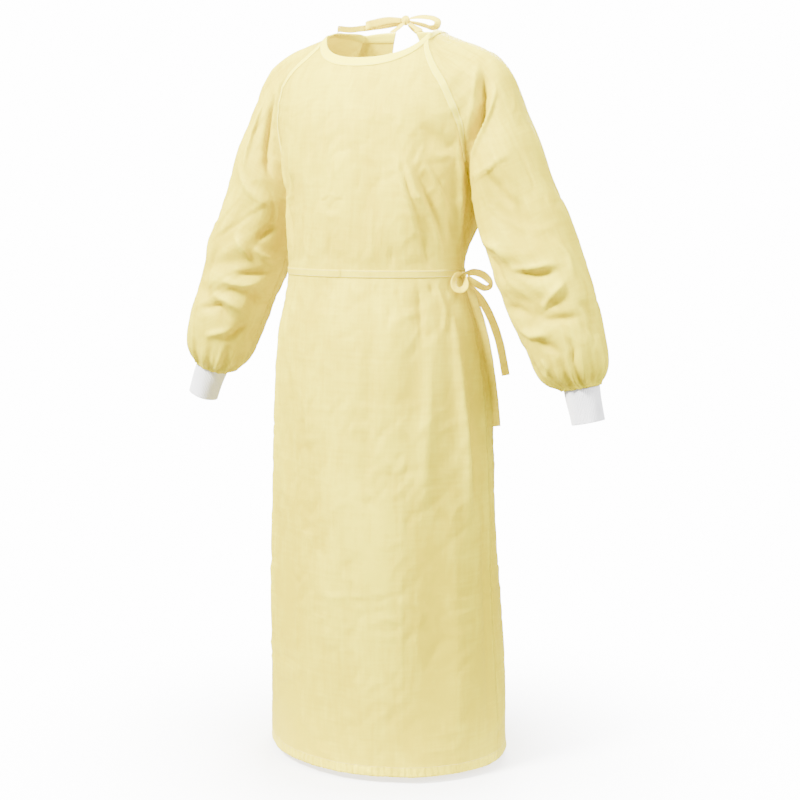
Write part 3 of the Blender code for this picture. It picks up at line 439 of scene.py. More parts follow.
NECK_STRIPS = {
    "neck_tie_lead_right": (ACROSS, [
        (-34, 84, 8.6, 0, 13),
        (-33, 90.5, 12.5, 0, 13),
        (-30.5, 97.5, 17, 0, 12),
        (-26.5, 106, 23.5, 0, 9),
    ]),
    "neck_tie_lead_left": (ACROSS, [
        (15, 88.2, 8.4, 0, 13),
        (11, 93, 12, 12, 13),
        (0, 100, 17.5, 24, 12),
        (-14.5, 108, 25, 30, 9),
    ]),
    "neck_loop_right": (UPWARD, [
        (-32.5, 108, 31, 0, 9),
        (-50, 99, 31, 0, 12),
        (-70, 88.5, 26.2, 0, 14),
        (-83, 81.5, 22.2, 0, 14),
        (-86, 83.5, 21.2, 0, 14),
        (-83.5, 86, 22.2, 0, 14),
        (-70, 93.5, 26.2, 0, 14),
        (-50, 105, 31, 0, 12),
        (-33, 114, 31, 0, 9),
    ]),
    "neck_loop_left": (BACKWARD, [
        (-15, 113, 34.5, 30, 9),
        (0, 113.5, 35.5, 38, 12),
        (18, 111.5, 34, 38, 13),
        (35, 106, 29.5, 38, 13),
        (43, 102, 24, 38, 13),
        (42, 100, 16.5, 38, 13),
        (33, 101, 14.5, 38, 13),
        (18, 105, 19, 38, 12),
        (0, 109, 24, 38, 10),
        (-14, 112, 27.5, 30, 7),
    ]),
    "neck_tail_right": (UPWARD, [
        (-31, 119, 27, 0, 8),
        (-55, 110, 24.5, 0, 10.5),
        (-78, 96, 20.5, 0, 10.5),
        (-92, 80, 17.5, 0, 10.5),
        (-100, 60, 14, 0, 10.5),
        (-100.5, 40, 12.5, 0, 10.5),
        (-98.5, 20, 11.5, 0, 10.5),
        (-92.5, 0, 8.5, 0, 10.5),
        (-85, -14, 1, 0, 10.5),
    ]),
    "neck_tail_left": (ACROSS, [
        (-19.5, 117, 24, 0, 8),
        (-14, 121.5, 18, 0, 11),
        (-2, 125.5, 9, 0, 13),
        (13, 128.5, -4, 0, 13),
        (28, 132, -23, 0, 13),
        (39, 137, -52, 0, 13),
        (44, 142, -86, 0, 13),
    ]),
}


# Sizes and colours that a user would change


def length_property(name, description, default, low, high):
    """A length in metres with its name, description and limits."""
    return bpy.props.FloatProperty(
        name=name, description=description, default=default, min=low, max=high,
        subtype="DISTANCE", unit="LENGTH", precision=4,
    )


def colour_property(name, description, default):
    """A colour in linear light."""
    return bpy.props.FloatVectorProperty(
        name=name, description=description, default=default, min=0, max=1, size=3, subtype="COLOR"
    )


class GownSizes(bpy.types.PropertyGroup):
    """Sizes of the cloth, its creases, the tapes and the stitches."""

    cloth_thickness: length_property("Cloth thickness", "The cloth shell's thickness", 0.0008, 0.0003, 0.001)
    crease_strength: bpy.props.FloatProperty(
        name="Crease strength", description="Scale of the creases placed by hand", default=2.3, min=0, max=3
    )
    billow: length_property("Billow", "Height of the slow waves in the cloth", 0.0022, 0, 0.004)
    crumple: length_property("Crumple", "Height of the small crumples", 0.0015, 0, 0.002)
    tape_thickness: length_property("Tape thickness", "Thickness of the tapes", 0.0008, 0.0004, 0.0012)
    stitch_length: length_property("Stitch length", "Length of one stitch", 0.0022, 0.001, 0.004)
    stitch_width: length_property("Stitch width", "Width of the thread", 0.0005, 0.0002, 0.001)
    stitch_pitch: length_property("Stitch pitch", "From one stitch to the next", 0.0031, 0.002, 0.006)
    cuff_ribs: bpy.props.IntProperty(
        name="Cuff ribs", description="Knit ribs round a cuff", default=64, min=24, max=96
    )
    rib_depth: length_property("Rib depth", "Depth of the knit ribs", 0.0004, 0, 0.001)


class GownColours(bpy.types.PropertyGroup):
    """Colours of the cloth, the tapes, the thread and the knit."""

    cloth: colour_property("Cloth", "The yellow cloth", (0.93, 0.84, 0.02))
    # painted shade: the colour that the cloth, hem and tie are mixed towards in their troughs, low on the
    # skirt and about the underarm, and a little at random in streaks and clouds
    cloth_deep: colour_property("Cloth, deep", "The cloth in its troughs", (0.76, 0.64, 0.0))
    hem: colour_property("Hem", "The cloth where the hem doubles it", (0.96, 0.84, 0.02))
    band: colour_property("Raglan band", "The paler tapes on the raglan seams", (0.97, 0.89, 0.03))
    binding: colour_property("Neck binding", "The tape over the neck edge", (0.97, 0.89, 0.03))
    tie: colour_property("Tie tape", "The bows' strips", (0.97, 0.85, 0.05))
    thread: colour_property("Thread", "The stitches", (0.88, 0.76, 0.40))
    knit: colour_property("Knit", "The white cuffs", (0.86, 0.86, 0.88))
    floor: colour_property("Floor", "The studio floor", (0.95, 0.95, 0.95))


# Smooth curves and directions


def curve_through(at, known, values):
    """A cubic through (known, values): each span blends its end values and slopes with Hermite's weights."""
    slopes = np.gradient(values, known)
    i = np.clip(np.searchsorted(known, at) - 1, 0, len(known) - 2)
    step = known[i + 1] - known[i]
    t = np.clip((at - known[i]) / step, 0, 1)
    return (
        (1 + 2 * t) * (1 - t) ** 2 * values[i]
        + t * (1 - t) ** 2 * step * slopes[i]
        + t * t * (3 - 2 * t) * values[i + 1]
        + t * t * (t - 1) * step * slopes[i + 1]
    )


def column(rows, name, at):
    """One column of a table, read between its rows. The first column is where each row is."""
    return curve_through(at, next(iter(rows.values())), rows[name])


def unit(vectors):
    """Each vector divided by its length."""
    return vectors / np.maximum(np.linalg.norm(vectors, axis=-1, keepdims=True), 1e-12)


def smoothstep(low, high, x):
    """3t² - 2t³ of t, the share of the way from low to high, held between 0 and 1."""
    t = np.clip((x - low) / (high - low), 0, 1)
    return t * t * (3 - 2 * t)


def mirrored(points):
    """The points with x turned round."""
    return points * np.array([-1.0, 1.0, 1.0])


def lean_vector(degrees):
    """(cos, 0, sin) of angles in degrees."""
    turn = np.radians(degrees)
    return np.stack([np.cos(turn), 0 * turn, np.sin(turn)], -1)


def slipped(points):
    """The gown's upper part moved over a little, more and more from below the underarm to the chest."""
    share = smoothstep(-0.30, -0.12, points[..., 2])
    moved = points.copy()
    moved[..., 0] -= SLIP * share
    moved[..., 2] -= SLOPE * points[..., 0] * share
    return moved


# Folds, creases and crumples, all as heights over a surface


def soft_folds(folds, across, along, across_size, along_size):
    """The solids' folds: depth times exp(-(distance / width)²) from each line, faded as a half sine
    along it."""
    total = np.zeros(np.broadcast(across, along).shape)
    for across_1, along_1, across_2, along_2, width, depth in folds:
        line = np.array([(across_2 - across_1) * across_size, (along_2 - along_1) * along_size])
        here = np.stack(
            np.broadcast_arrays((across - across_1) * across_size, (along - along_1) * along_size), -1
        )
        share = here @ line / (line @ line)
        off = np.linalg.norm(here - np.clip(share, 0, 1)[..., None] * line, axis=-1)
        fade = np.sin(np.pi * np.clip(share, 0.04, 0.96)) ** 0.6
        total = total + depth * fade * np.exp(-((off / width) ** 2))
    return total


def crease(width, height, steep, points, across, along, across_size, along_size):
    """One crease: height / cosh(2 d / w) of the signed distance d from a polyline, with the width w
    divided by steep on one side, tapered at both ends by a sine of the share of the way along."""
    knots = points * (across_size, along_size)
    here = np.stack(np.broadcast_arrays(across * across_size, along * along_size), -1)
    steps = np.diff(knots, axis=0)
    lengths = np.linalg.norm(steps, axis=1)
    starts = np.append(0, np.cumsum(lengths))
    nearest = np.full(here.shape[:-1], np.inf)
    signed = np.zeros(here.shape[:-1])
    share = np.zeros(here.shape[:-1])
    for knot, step, length, start in zip(knots, steps, lengths, starts):
        way = here - knot
        t = np.clip(way @ step / length**2, 0, 1)
        off = way - t[..., None] * step
        distance = np.linalg.norm(off, axis=-1)
        side = np.sign(step[0] * off[..., 1] - step[1] * off[..., 0])
        closer = distance < nearest
        nearest = np.where(closer, distance, nearest)
        signed = np.where(closer, distance * side, signed)
        share = np.where(closer, (start + t * length) / starts[-1], share)
    widths = np.where(signed > 0, width / steep, width)
    taper = np.sin(np.pi * np.clip(0.03 + 0.94 * share, 0, 1)) ** 0.7
    fallen = np.clip(nearest / widths * 2, 0, 30)
    return height * taper / np.cosh(fallen)


def creases(rows, across_unit, across, along, across_size, along_size):
    """The sum of the creases in a table, whose values across are in parts of the given unit."""
    total = 0
    sizes = (across_size, along_size)
    for width, height, steep, *line in rows:
        points = np.reshape(line, (-1, 2)) / (across_unit, MILLI)
        total = total + crease(width / MILLI, height / MILLI, steep, points, across, along, *sizes)
    return total


def waves(seed, count, lengths, across, along):
    """Slow waves: sines in random directions and phases, of the given wavelengths in metres, whose sum is
    divided by the root of their count."""
    random = np.random.default_rng(seed)
    total = 0
    for _ in range(count):
        turn, phase = random.uniform(0, 2 * np.pi, 2)
        size = random.uniform(*lengths)
        total = total + np.sin(2 * np.pi * (np.cos(turn) * across + np.sin(turn) * along) / size + phase)
    return total / math.sqrt(count)


def crumples(seed, across, along):
    """Small crisp crumples: ridges 1 - |sin| in random directions, bent by slow waves, each shown only
    where another slow wave is high."""
    random = np.random.default_rng(seed)
    total = 0
    for k in range(7):
        turn, phase = random.uniform(0, 2 * np.pi, 2)
        size = random.uniform(0.028, 0.070)
        bent = 0.012 * waves(seed + 10 + k, 4, (0.06, 0.16), across, along)
        run = (np.cos(turn) * across + np.sin(turn) * along + bent) / size
        shown = smoothstep(0.1, 1.1, waves(seed + 30 + k, 5, (0.09, 0.26), across, along))
        total = total + (1 - np.abs(np.sin(np.pi * run + phase))) ** 2.2 * shown * random.choice([-1, 1])
    return total


# The torso's form

METRES_PER_DEGREE = math.radians(TORSO_RADIUS)
PANEL_COLUMNS = 72
BACK_COLUMNS = 78
LOW_ROWS = np.concatenate([
    [HEM, HEM + 0.003],
    np.linspace(HEM + 0.006, HEM + HEM_DEPTH + 0.004, 7),
    np.linspace(HEM + 0.024, WAIST - 0.012, 150),
    np.linspace(WAIST - 0.008, WAIST + 0.008, 7),
    np.linspace(WAIST + 0.012, UNDERARM, 22),
])
LOW_COUNT = len(LOW_ROWS)
RAGLAN_SHARES = np.append(np.linspace(0, BINDING_SHARE, 56), [0.982, 1.0])


def torso_point(angle, height, out):
    """A half ellipse at each height: centre + (width sin, -depth cos) of the angle, moved out by out
    along the ellipse's normal (sin / width, -cos / depth)."""
    turn = np.radians(angle)
    forward = np.cos(turn)
    depth = np.where(forward > 0, column(TORSO, "front_depth", height), column(TORSO, "back_depth", height))
    width = column(TORSO, "half_width", height)
    across = column(TORSO, "centre_x", height) + width * np.sin(turn)
    ahead = column(TORSO, "centre_y", height) - depth * forward
    point = np.stack(np.broadcast_arrays(across, ahead, height), -1)
    outward = np.stack(np.broadcast_arrays(np.sin(turn) / width, -forward / depth, 0 * across), -1)
    return point + unit(outward) * out[..., None]


def torso_height(angle, height, sizes):
    """The cloth's height over the plain torso: the solids' folds, the creases, slow waves and crumples,
    less at the belt, where the tape holds them, and none at the neck."""
    turn = np.radians(angle)
    solid = soft_folds(TORSO_FOLDS, angle, height, METRES_PER_DEGREE, 1.0)
    by_hand = creases(TORSO_CREASES, 1, angle, height, METRES_PER_DEGREE, 1.0)
    pressed = creases(PRESSED_LINES, 1, angle, height, METRES_PER_DEGREE, 1.0)
    slow = 0.5 * waves(4, 6, (0.16, 0.40), TORSO_RADIUS * np.sin(turn) * 1.6, height + 0.1 * np.cos(turn))
    slow = slow + 0.4 * np.sin(9 * turn + 5 * waves(5, 3, (0.5, 1.1), 0 * turn, height))
    small = crumples(6, TORSO_RADIUS * np.sin(turn) * 1.5, height + 0.05 * np.cos(turn))
    belt = smoothstep(0.004, 0.030, np.abs(height - WAIST))
    neck = smoothstep(-0.02, -0.09, height)
    strength = sizes.crease_strength
    soft = (solid + strength * by_hand + sizes.billow * slow) * belt * neck
    return soft + (strength * pressed + sizes.crumple * small) * neck * (0.35 + 0.65 * belt)


def row_heights(seam_top, middle_height, power):
    """For each row, the height at its outer end and at its inner end, hem to neck."""
    ends = UNDERARM + (seam_top - UNDERARM) * RAGLAN_SHARES
    middles = UNDERARM + (middle_height - UNDERARM) * RAGLAN_SHARES**power
    return np.append(LOW_ROWS, ends[1:]), np.append(LOW_ROWS, middles[1:])


def dipping_rows(ends, middles, u):
    """Each row's height: its end's, less a dip of (1 - u^DIP_START)^DIP_END towards its middle."""
    return ends[:, None] - (ends - middles)[:, None] * (1 - u**DIP_START) ** DIP_END


def front_grid(sizes):
    """The front panel, from the wearer's right seam to the left one, hem to neck."""
    ends, middles = row_heights(FRONT_SEAM_TOP, FRONT_NECK, FRONT_DIP)
    u = np.linspace(-1, 1, 2 * PANEL_COLUMNS + 1)
    seam_left = column(SEAMS, "front_left", np.maximum(ends, UNDERARM))[:, None]
    seam_right = column(SEAMS, "front_right", np.maximum(ends, UNDERARM))[:, None]
    angle = np.where(u < 0, seam_right * u, seam_left * u)
    height = dipping_rows(ends, middles, np.abs(u))
    return angle, height, torso_height(angle, height, sizes)


def back_grid(side, sizes):
    """A back panel, from its seam to its free edge at the back, hem to neck."""
    ends, middles = row_heights(BACK_SEAM_TOP, BACK_NECK, BACK_DIP)
    seam = column(SEAMS, "back", np.maximum(ends, UNDERARM))
    edge_x = column(BACK_EDGES, SIDE_WORDS[side], middles) * side
    edge = 180 - np.degrees(np.arcsin(edge_x / column(TORSO, "half_width", middles)))
    u = np.linspace(1, 0, BACK_COLUMNS + 1)
    angle = edge[:, None] + (seam - edge)[:, None] * u
    height = dipping_rows(ends, middles, u)
    step = OVERLAP_STEP * smoothstep(150, 163, angle) * (side > 0)
    return side * angle, height, torso_height(side * angle, height, sizes) + step


# The sleeves' form

HALF_ROUND = 66
JOINT_REACH = 11
TUBE_SHARES = np.append(np.linspace(0, 0.80, 74), np.linspace(0.806, 1.0, 34))


def cubic(start, start_way, end_way, end, t):
    """A cubic curve from start to end with its two handle points, at each t."""
    a, b, c, d = (p[:, None, :] for p in (start, start_way, end_way, end))
    t = t[None, :, None]
    return (1 - t) ** 3 * a + 3 * t * (1 - t) ** 2 * b + 3 * t * t * (1 - t) * c + t**3 * d


def sleeve_rows(front, back, top, outward, leave, full_front, full_back):
    """From the front seam over the top to the back seam, as two cubics that meet at the top."""
    turn = np.radians(leave)[:, None]
    t = np.linspace(0, 1, HALF_ROUND + 1)
    halves = []
    for start, way, full in ((front, FORWARD, full_front), (back, -FORWARD, full_back)):
        full = full[:, None]
        start_way = start + full * (np.cos(turn) * way + np.sin(turn) * outward)
        halves.append(cubic(start, start_way, top + full * way, top, t))
    return np.concatenate([halves[0], halves[1][:, -2::-1]], axis=1)


def raglan_rows(front, back):
    """The wearer's left sleeve above the underarm, one row for each raglan share, neck first."""
    shares = RAGLAN_SHARES[:0:-1]
    values = {k: column(SHOULDER, k, shares) for k in SHOULDER}
    top = np.stack([values["top_x"], values["top_y"], values["top_z"]], -1)
    full_front, full_back = (
        values["fullness"] * np.linalg.norm(top - end, axis=-1) for end in (front[:0:-1], back[:0:-1])
    )
    outward = lean_vector(values["lean"])
    return sleeve_rows(front[:0:-1], back[:0:-1], top, outward, values["leave"], full_front, full_back)


def tube_rows(side):
    """A sleeve below the underarm, as on the wearer's left: closed rows from its underside."""
    share = TUBE_SHARES
    lean = SLEEVE_LEAN + (CUFF_LEAN[side] - SLEEVE_LEAN) * smoothstep(0.6, 1.0, share)
    outward = lean_vector(lean)
    radius, depth, sag = (column(TUBE, k, share)[:, None] for k in ("out_radius", "front_radius", "sag"))
    centre = SLEEVE_START + (SLEEVE_END[side] - SLEEVE_START) * share[:, None] - outward * sag
    under, top = centre - outward * radius, centre + outward * radius
    full = depth[:, 0] * 4 / 3
    return sleeve_rows(under, under, top, outward, 0 * share, full, full)


def gathers(side, way_round, share):
    """The gathers over the cuff: a sharp-topped wave of uneven pitch round the sleeve, whose height
    grows towards the cuff seam and falls again where the sleeve is sewn to the knit."""
    turn = 2 * np.pi * way_round
    uneven = 13 * turn + 0.9 * np.sin(3 * turn + side) + 0.6 * np.sin(5 * turn + 2) + 0.4 * side
    uneven = uneven + 2.2 * (share - 0.9) * np.sin(4 * turn + 1)
    sharp = 1 - 2 * np.abs(np.sin(uneven / 2)) ** 0.8
    second = np.cos(21 * turn + 2 * np.sin(2 * turn + side))
    rise = smoothstep(0.76, 0.93, share) * (1 - 0.72 * smoothstep(0.955, 1.0, share))
    return rise * (0.0032 * sharp + 0.0009 * second)


def sleeve_height(side, way_round, along, sizes):
    """The cloth's height over the plain sleeve, none at the raglan seams and the cuff seam."""
    solid = soft_folds(SLEEVE_FOLDS, way_round, along, SLEEVE_ROUND, SLEEVE_ALONG)
    by_hand = creases(SLEEVE_CREASES[side], MILLI, way_round, along, SLEEVE_ROUND, SLEEVE_ALONG)
    turn = 2 * np.pi * way_round
    ring = SLEEVE_RADIUS * np.sin(turn)
    run = along * SLEEVE_ALONG + SLEEVE_RADIUS * np.cos(turn)
    slow = waves(20 + side, 6, (0.10, 0.24), ring * 1.4, run)
    small = crumples(40 + side, ring * 1.3, run)
    end = 1 - smoothstep(0.93, 1.0, along)
    soft = sizes.crease_strength * by_hand + sizes.billow * slow + sizes.crumple * small
    return solid * np.where(along < 0, 0.0, 1.0) + soft * end + gathers(side, way_round, along)


def sleeve_grid(side, front_seam, back_seam, sizes):
    """A sleeve: open rows from the neck to the underarm, then closed ones to the cuff. The edges stay
    on the seams, and in the armpit they lie one wall out over the body panels."""
    flat = mirrored if side < 0 else np.array
    front, back = flat(front_seam), flat(back_seam)
    upper = raglan_rows(front, back)
    lower = tube_rows(side)
    way_round = np.linspace(0, 1, 2 * HALF_ROUND + 1)
    shares = RAGLAN_SHARES[:0:-1]
    along = np.concatenate([-0.85 * shares, TUBE_SHARES])[:, None] + 0 * way_round
    round_ = way_round + 0 * along
    near = np.minimum(round_, 1 - round_)
    grid = eased_joint(np.concatenate([upper, lower]), along, near)
    seam_free = np.where(along < 0, smoothstep(0.0, 0.035, near), 1.0)
    neck_free = 1 - smoothstep(0.60, 0.85, -along)
    underarm = 1 - np.exp(-((near / 0.05) ** 2)) * (1 - smoothstep(0.0, 0.12, np.abs(along)))
    height = sleeve_height(side, round_, along, sizes) * seam_free * neck_free * underarm
    grid = grid + grid_normals(grid, closed_from=len(upper)) * height[..., None]
    lap = np.concatenate([1 - smoothstep(0.30, 0.55, shares), 1 - smoothstep(0.0, 0.08, TUBE_SHARES)])
    step = LAP_STEP * lap[:, None] * np.exp(-((near / 0.035) ** 2))
    grid = grid + LAP_WAY * step[..., None]
    return slipped(flat(grid)), height


def seamed(grid, front_seam, back_seam):
    """A sleeve's grid with one more column at each end, which lies on the panels' seam points down to the
    underarm and on the sleeve's own underside below it."""
    below = grid[len(front_seam):]
    first = np.concatenate([front_seam[::-1], below[:, 0]])
    last = np.concatenate([back_seam[::-1], below[:, -1]])
    return np.concatenate([first[:, None], grid, last[:, None]], axis=1)


def eased_joint(grid, along, near):
    """The sleeve's rows near the underarm's level blended with their mean under a triangle, by
    exp(-(along / 0.13)²) and less towards the seams."""
    share = (np.exp(-((along / 0.13) ** 2)) * smoothstep(0.01, 0.08, near))[..., None]
    return grid * (1 - share) + smoothed(grid, JOINT_REACH) * share


def grid_normals(grid, closed_from=None):
    """Unit normals of a grid: the cross product of its differences down and across."""
    down = np.gradient(grid, axis=0)
    over = np.gradient(grid, axis=1)
    if closed_from is not None:
        joined = (grid[closed_from:, 1] - grid[closed_from:, -2]) / 2
        over[closed_from:, 0] = joined
        over[closed_from:, -1] = joined
    return unit(np.cross(down, over))


# Meshes


def cells(index):
    """The four corners of each cell of a grid of point numbers."""
    return np.stack([index[:-1, :-1], index[:-1, 1:], index[1:, 1:], index[1:, :-1]], -1).reshape(-1, 4)


def grid_quads(rows, columns, wrap=False, flip=False):
    """The corners of each quad of a grid of rows and columns, with the last column joined to the first
    where it wraps."""
    index = np.arange(rows * columns).reshape(rows, columns)
    if wrap:
        index = np.concatenate([index, index[:, :1]], axis=1)
    quads = cells(index)
    return quads[:, ::-1] if flip else quads


def piece(name, points, faces, material, uv=None, **attributes):
    """A new object at the origin from points and equal-sided faces, smooth, with one material. uv and
    the named attributes have one value for each point."""
    points = np.asarray(points, np.float32).reshape(-1, 3)
    faces = np.asarray(faces, np.int32)
    mesh = bpy.data.meshes.new(name)
    mesh.vertices.add(len(points))
    mesh.vertices.foreach_set("co", points.ravel())
    mesh.loops.add(faces.size)
    mesh.loops.foreach_set("vertex_index", faces.ravel())
    mesh.polygons.add(len(faces))
    mesh.polygons.foreach_set("loop_start", np.arange(len(faces), dtype=np.int32) * faces.shape[1])
    if uv is not None:
        layer = mesh.uv_layers.new(name="UVMap")
        layer.uv.foreach_set("vector", np.asarray(uv, np.float32).reshape(-1, 2)[faces.ravel()].ravel())
    for key, values in attributes.items():
        layer = mesh.attributes.new(key, "FLOAT", "POINT")
        layer.data.foreach_set("value", np.asarray(values, np.float32).ravel())
    mesh.update(calc_edges=True)
    mesh.validate()
    mesh.shade_smooth()
    mesh.materials.append(material)
    made = bpy.data.objects.new(name, mesh)
    bpy.context.scene.collection.objects.link(made)
    return made


def lengths_along(points):
    """The running length of each row of points from its first one."""
    steps = np.linalg.norm(np.diff(points, axis=-2), axis=-1)
    return np.concatenate([np.zeros((*steps.shape[:-1], 1)), np.cumsum(steps, axis=-1)], axis=-1)


def cloth_uv(grid):
    """Across and along the cloth in metres: running lengths of the rows from their middle and of the
    columns from the first row."""
    across = lengths_along(grid)
    across = across - across[:, across.shape[1] // 2: across.shape[1] // 2 + 1]
    along = lengths_along(grid.transpose(1, 0, 2)).T
    return np.stack([across, along], -1)


def read_at(at, run, values):
    """Rows of values read by straight steps at the given running lengths."""
    return np.stack([np.interp(at, run, values[:, k]) for k in range(values.shape[1])], -1)


def sampled(path, count):
    """A path of rows of values read at count even steps of its first three values' running length."""
    run = lengths_along(path[:, :3])
    at = np.linspace(0, run[-1], count)
    return np.stack([curve_through(at, run, path[:, k]) for k in range(path.shape[1])], -1)


def half_faces(ring):
    """Quads over a closed ring of point numbers, pairing its first half with its second."""
    low, high = ring[: len(ring) // 2], ring[::-1][: len(ring) // 2]
    return np.stack([low[:-1], low[1:], high[1:], high[:-1]], -1)


def tube_mesh(sections, closed=False):
    """Points and quads of sections joined one to the next, with flat ends unless it is closed."""
    rows, size = sections.shape[:2]
    index = np.arange(rows * size).reshape(rows, size)
    ring = np.concatenate([index, index[:, :1]], axis=1)
    if closed:
        ring = np.concatenate([ring, ring[:1]], axis=0)
    quads = cells(ring)
    if not closed:
        quads = np.concatenate([quads, half_faces(index[0])[:, ::-1], half_faces(index[-1])])
    return sections.reshape(-1, 3), quads


def mended(made, merge=False, face_out=False):
    """Joins a piece's points that coincide, turns a closed piece's faces outwards, or both."""
    mesh = bmesh.new()
    mesh.from_mesh(made.data)
    if merge:
        bmesh.ops.remove_doubles(mesh, verts=mesh.verts, dist=MERGE_DISTANCE)
    if face_out:
        bmesh.ops.recalc_face_normals(mesh, faces=mesh.faces)
    mesh.to_mesh(made.data)
    mesh.free()
    return made


def strip_sections(points, across, up, width, thickness):
    """A strip's rounded section at each point: twelve points round it, the faces a little crowned."""
    x = np.array([-0.97, -1.0, -0.97, -0.5, 0.0, 0.5, 0.97, 1.0, 0.97, 0.5, 0.0, -0.5])
    y = np.array([-0.80, 0.0, 0.80, 1.0, 1.1, 1.0, 0.80, 0.0, -0.80, -1.0, -1.1, -1.0])
    half = width[:, None, None] / 2
    return points[:, None] + across[:, None] * x[:, None] * half + up[:, None] * y[:, None] * thickness / 2


def laid_sections(lines, way, near, far):
    """A tape laid on cloth, from its lower, middle and upper line on it and the way out from it: sections
    of twelve points, six on the outer face and six under it, its two edges rounded in."""
    share = np.array([0.0, 0.06, 0.3, 0.7, 0.94, 1.0])[:, None]
    outer_lift = np.array([0.55, 0.96, 1.0, 1.0, 0.96, 0.55])[:, None] * (far - near) + near
    inner_lift = np.array([0.45, 0.04, 0.0, 0.0, 0.04, 0.45])[:, None] * (far - near) + near
    weights = [(1 - share) * (1 - 2 * share), 4 * share * (1 - share), share * (2 * share - 1)]
    across = sum(line[:, None] * weight for line, weight in zip(lines, weights))
    way = way[:, None]
    return np.concatenate([across + way * outer_lift, (across + way * inner_lift)[:, ::-1]], axis=1)


def smoothed(values, reach):
    """Each row of values averaged with its neighbours under a triangle of the given reach."""
    weights = 1 - np.abs(np.arange(-reach, reach + 1)) / (reach + 1)
    weights = weights / weights.sum()
    padded = np.pad(values, [(reach, reach)] + [(0, 0)] * (values.ndim - 1), mode="edge")
    return sum(w * padded[k: k + len(values)] for k, w in enumerate(weights))


def stitch_row(points, ups, sizes):
    """Stitches along a line, each a small eight-sided dart: its middle two squares and its two ends are
    points of one template, turned along the line and up from the cloth. Returns points and triangles."""
    run = lengths_along(points)
    at = np.arange(sizes.stitch_pitch / 2, run[-1] - sizes.stitch_pitch / 2, sizes.stitch_pitch)
    middle = read_at(at, run, points)
    up = unit(read_at(at, run, ups))
    ahead = read_at(at, run, np.gradient(points, axis=0))
    ahead = unit(ahead - up * (ahead * up).sum(-1, keepdims=True))
    side = np.cross(up, ahead)
    half, wide = sizes.stitch_length / 2, sizes.stitch_width / 2
    template = np.array([
        (-half, 0, -wide), (half, 0, -wide),
        (-half / 2, -wide, 0), (-half / 2, 0, wide), (-half / 2, wide, 0), (-half / 2, 0, -wide),
        (half / 2, -wide, 0), (half / 2, 0, wide), (half / 2, wide, 0), (half / 2, 0, -wide),
    ])
    frames = np.stack([ahead, side, up], 1)
    darts = middle[:, None] + template @ frames
    ring = np.array([2, 3, 4, 5])
    turned = np.roll(ring, -1)
    triangles = np.concatenate([
        np.stack([np.zeros(4, int), turned, ring], -1),
        np.stack([np.ones(4, int), ring + 4, turned + 4], -1),
        np.stack([ring, turned, turned + 4], -1),
        np.stack([ring, turned + 4, ring + 4], -1),
    ])
    faces = triangles[None] + 10 * np.arange(len(darts))[:, None, None]
    return darts.reshape(-1, 3), faces.reshape(-1, 3)


def joined(meshes):
    """Several (points, faces) as one."""
    starts = np.cumsum([0] + [len(p) for p, _ in meshes[:-1]])
    points = np.concatenate([p for p, _ in meshes])
    return points, np.concatenate([f + s for (_, f), s in zip(meshes, starts)])


# Materials


class Shade:
    """A value of a material's nodes, with the sums, products and powers of plain numbers."""

    def __init__(self, maker, socket):
        self.maker = maker
        self.socket = socket

    def worked(self, operation, *others, swap=False):
        values = [self, *others][::-1] if swap else [self, *others]
        return self.maker.value("ShaderNodeMath", dict(enumerate(values)), operation=operation)

    def __add__(self, other):
        return self.worked("ADD", other)

    __radd__ = __add__

    def __mul__(self, other):
        return self.worked("MULTIPLY", other)

    __rmul__ = __mul__

    def __sub__(self, other):
        return self.worked("SUBTRACT", other)

    def __rsub__(self, other):
        return self.worked("SUBTRACT", other, swap=True)

    def __truediv__(self, other):
        return self.worked("DIVIDE", other)

    def __pow__(self, other):
        return self.worked("POWER", other)

    def sine(self):
        return self.worked("SINE")

    def held(self):
        return self.worked("MAXIMUM", 0.0).worked("MINIMUM", 1.0)


class Maker:
    """Makes the nodes of one material."""

    def __init__(self, name):
        self.material = bpy.data.materials.new(name)
        self.material.use_nodes = True
        self.tree = self.material.node_tree
        self.tree.nodes.clear()

    def node(self, kind, inputs=None, **settings):
        """One node, with its settings, and each input linked to a Shade or set to a value."""
        made = self.tree.nodes.new(kind)
        for key, setting in settings.items():
            setattr(made, key, setting)
        for key, given in (inputs or {}).items():
            if isinstance(given, Shade):
                self.tree.links.new(given.socket, made.inputs[key])
            else:
                made.inputs[key].default_value = given
        return made

    def value(self, kind, inputs=None, output=0, **settings):
        return Shade(self, self.node(kind, inputs, **settings).outputs[output])

    def mixed(self, share, low, high):
        """The colour low where share is 0 and high where it is 1."""
        ends = {6: (*low, 1), 7: (*high, 1)}
        return self.value("ShaderNodeMix", {0: share, **ends}, output=2, data_type="RGBA")

    def parts(self, place):
        """A place's first two coordinates."""
        apart = self.node("ShaderNodeSeparateXYZ", {0: place})
        return Shade(self, apart.outputs[0]), Shade(self, apart.outputs[1])

    def across_and_along(self):
        """The piece's UV map, and its two lengths in metres."""
        place = self.value("ShaderNodeTexCoord", output="UV")
        return place, *self.parts(place)

    def noise(self, place, scale, detail=3.0, roughness=0.55):
        return self.value(
            "ShaderNodeTexNoise",
            {"Vector": place, "Scale": scale, "Detail": detail, "Roughness": roughness},
        )

    def stretched(self, place, across, along):
        """Coordinates scaled differently across and along."""
        return self.value("ShaderNodeMapping", {"Vector": place, "Scale": (across, along, 1.0)})

    def crossed(self, place, across, along, detail=3.0):
        """Noise drawn out one way plus noise drawn out the other way."""
        one, other = self.stretched(place, across, along), self.stretched(place, along, across)
        return self.noise(one, 1.0, detail) + self.noise(other, 1.0, detail)

    def bump(self, height, strength, distance):
        return self.value("ShaderNodeBump", {"Height": height, "Strength": strength, "Distance": distance})

    def finish(self, shader):
        self.node("ShaderNodeOutputMaterial", {0: shader})
        return self.material


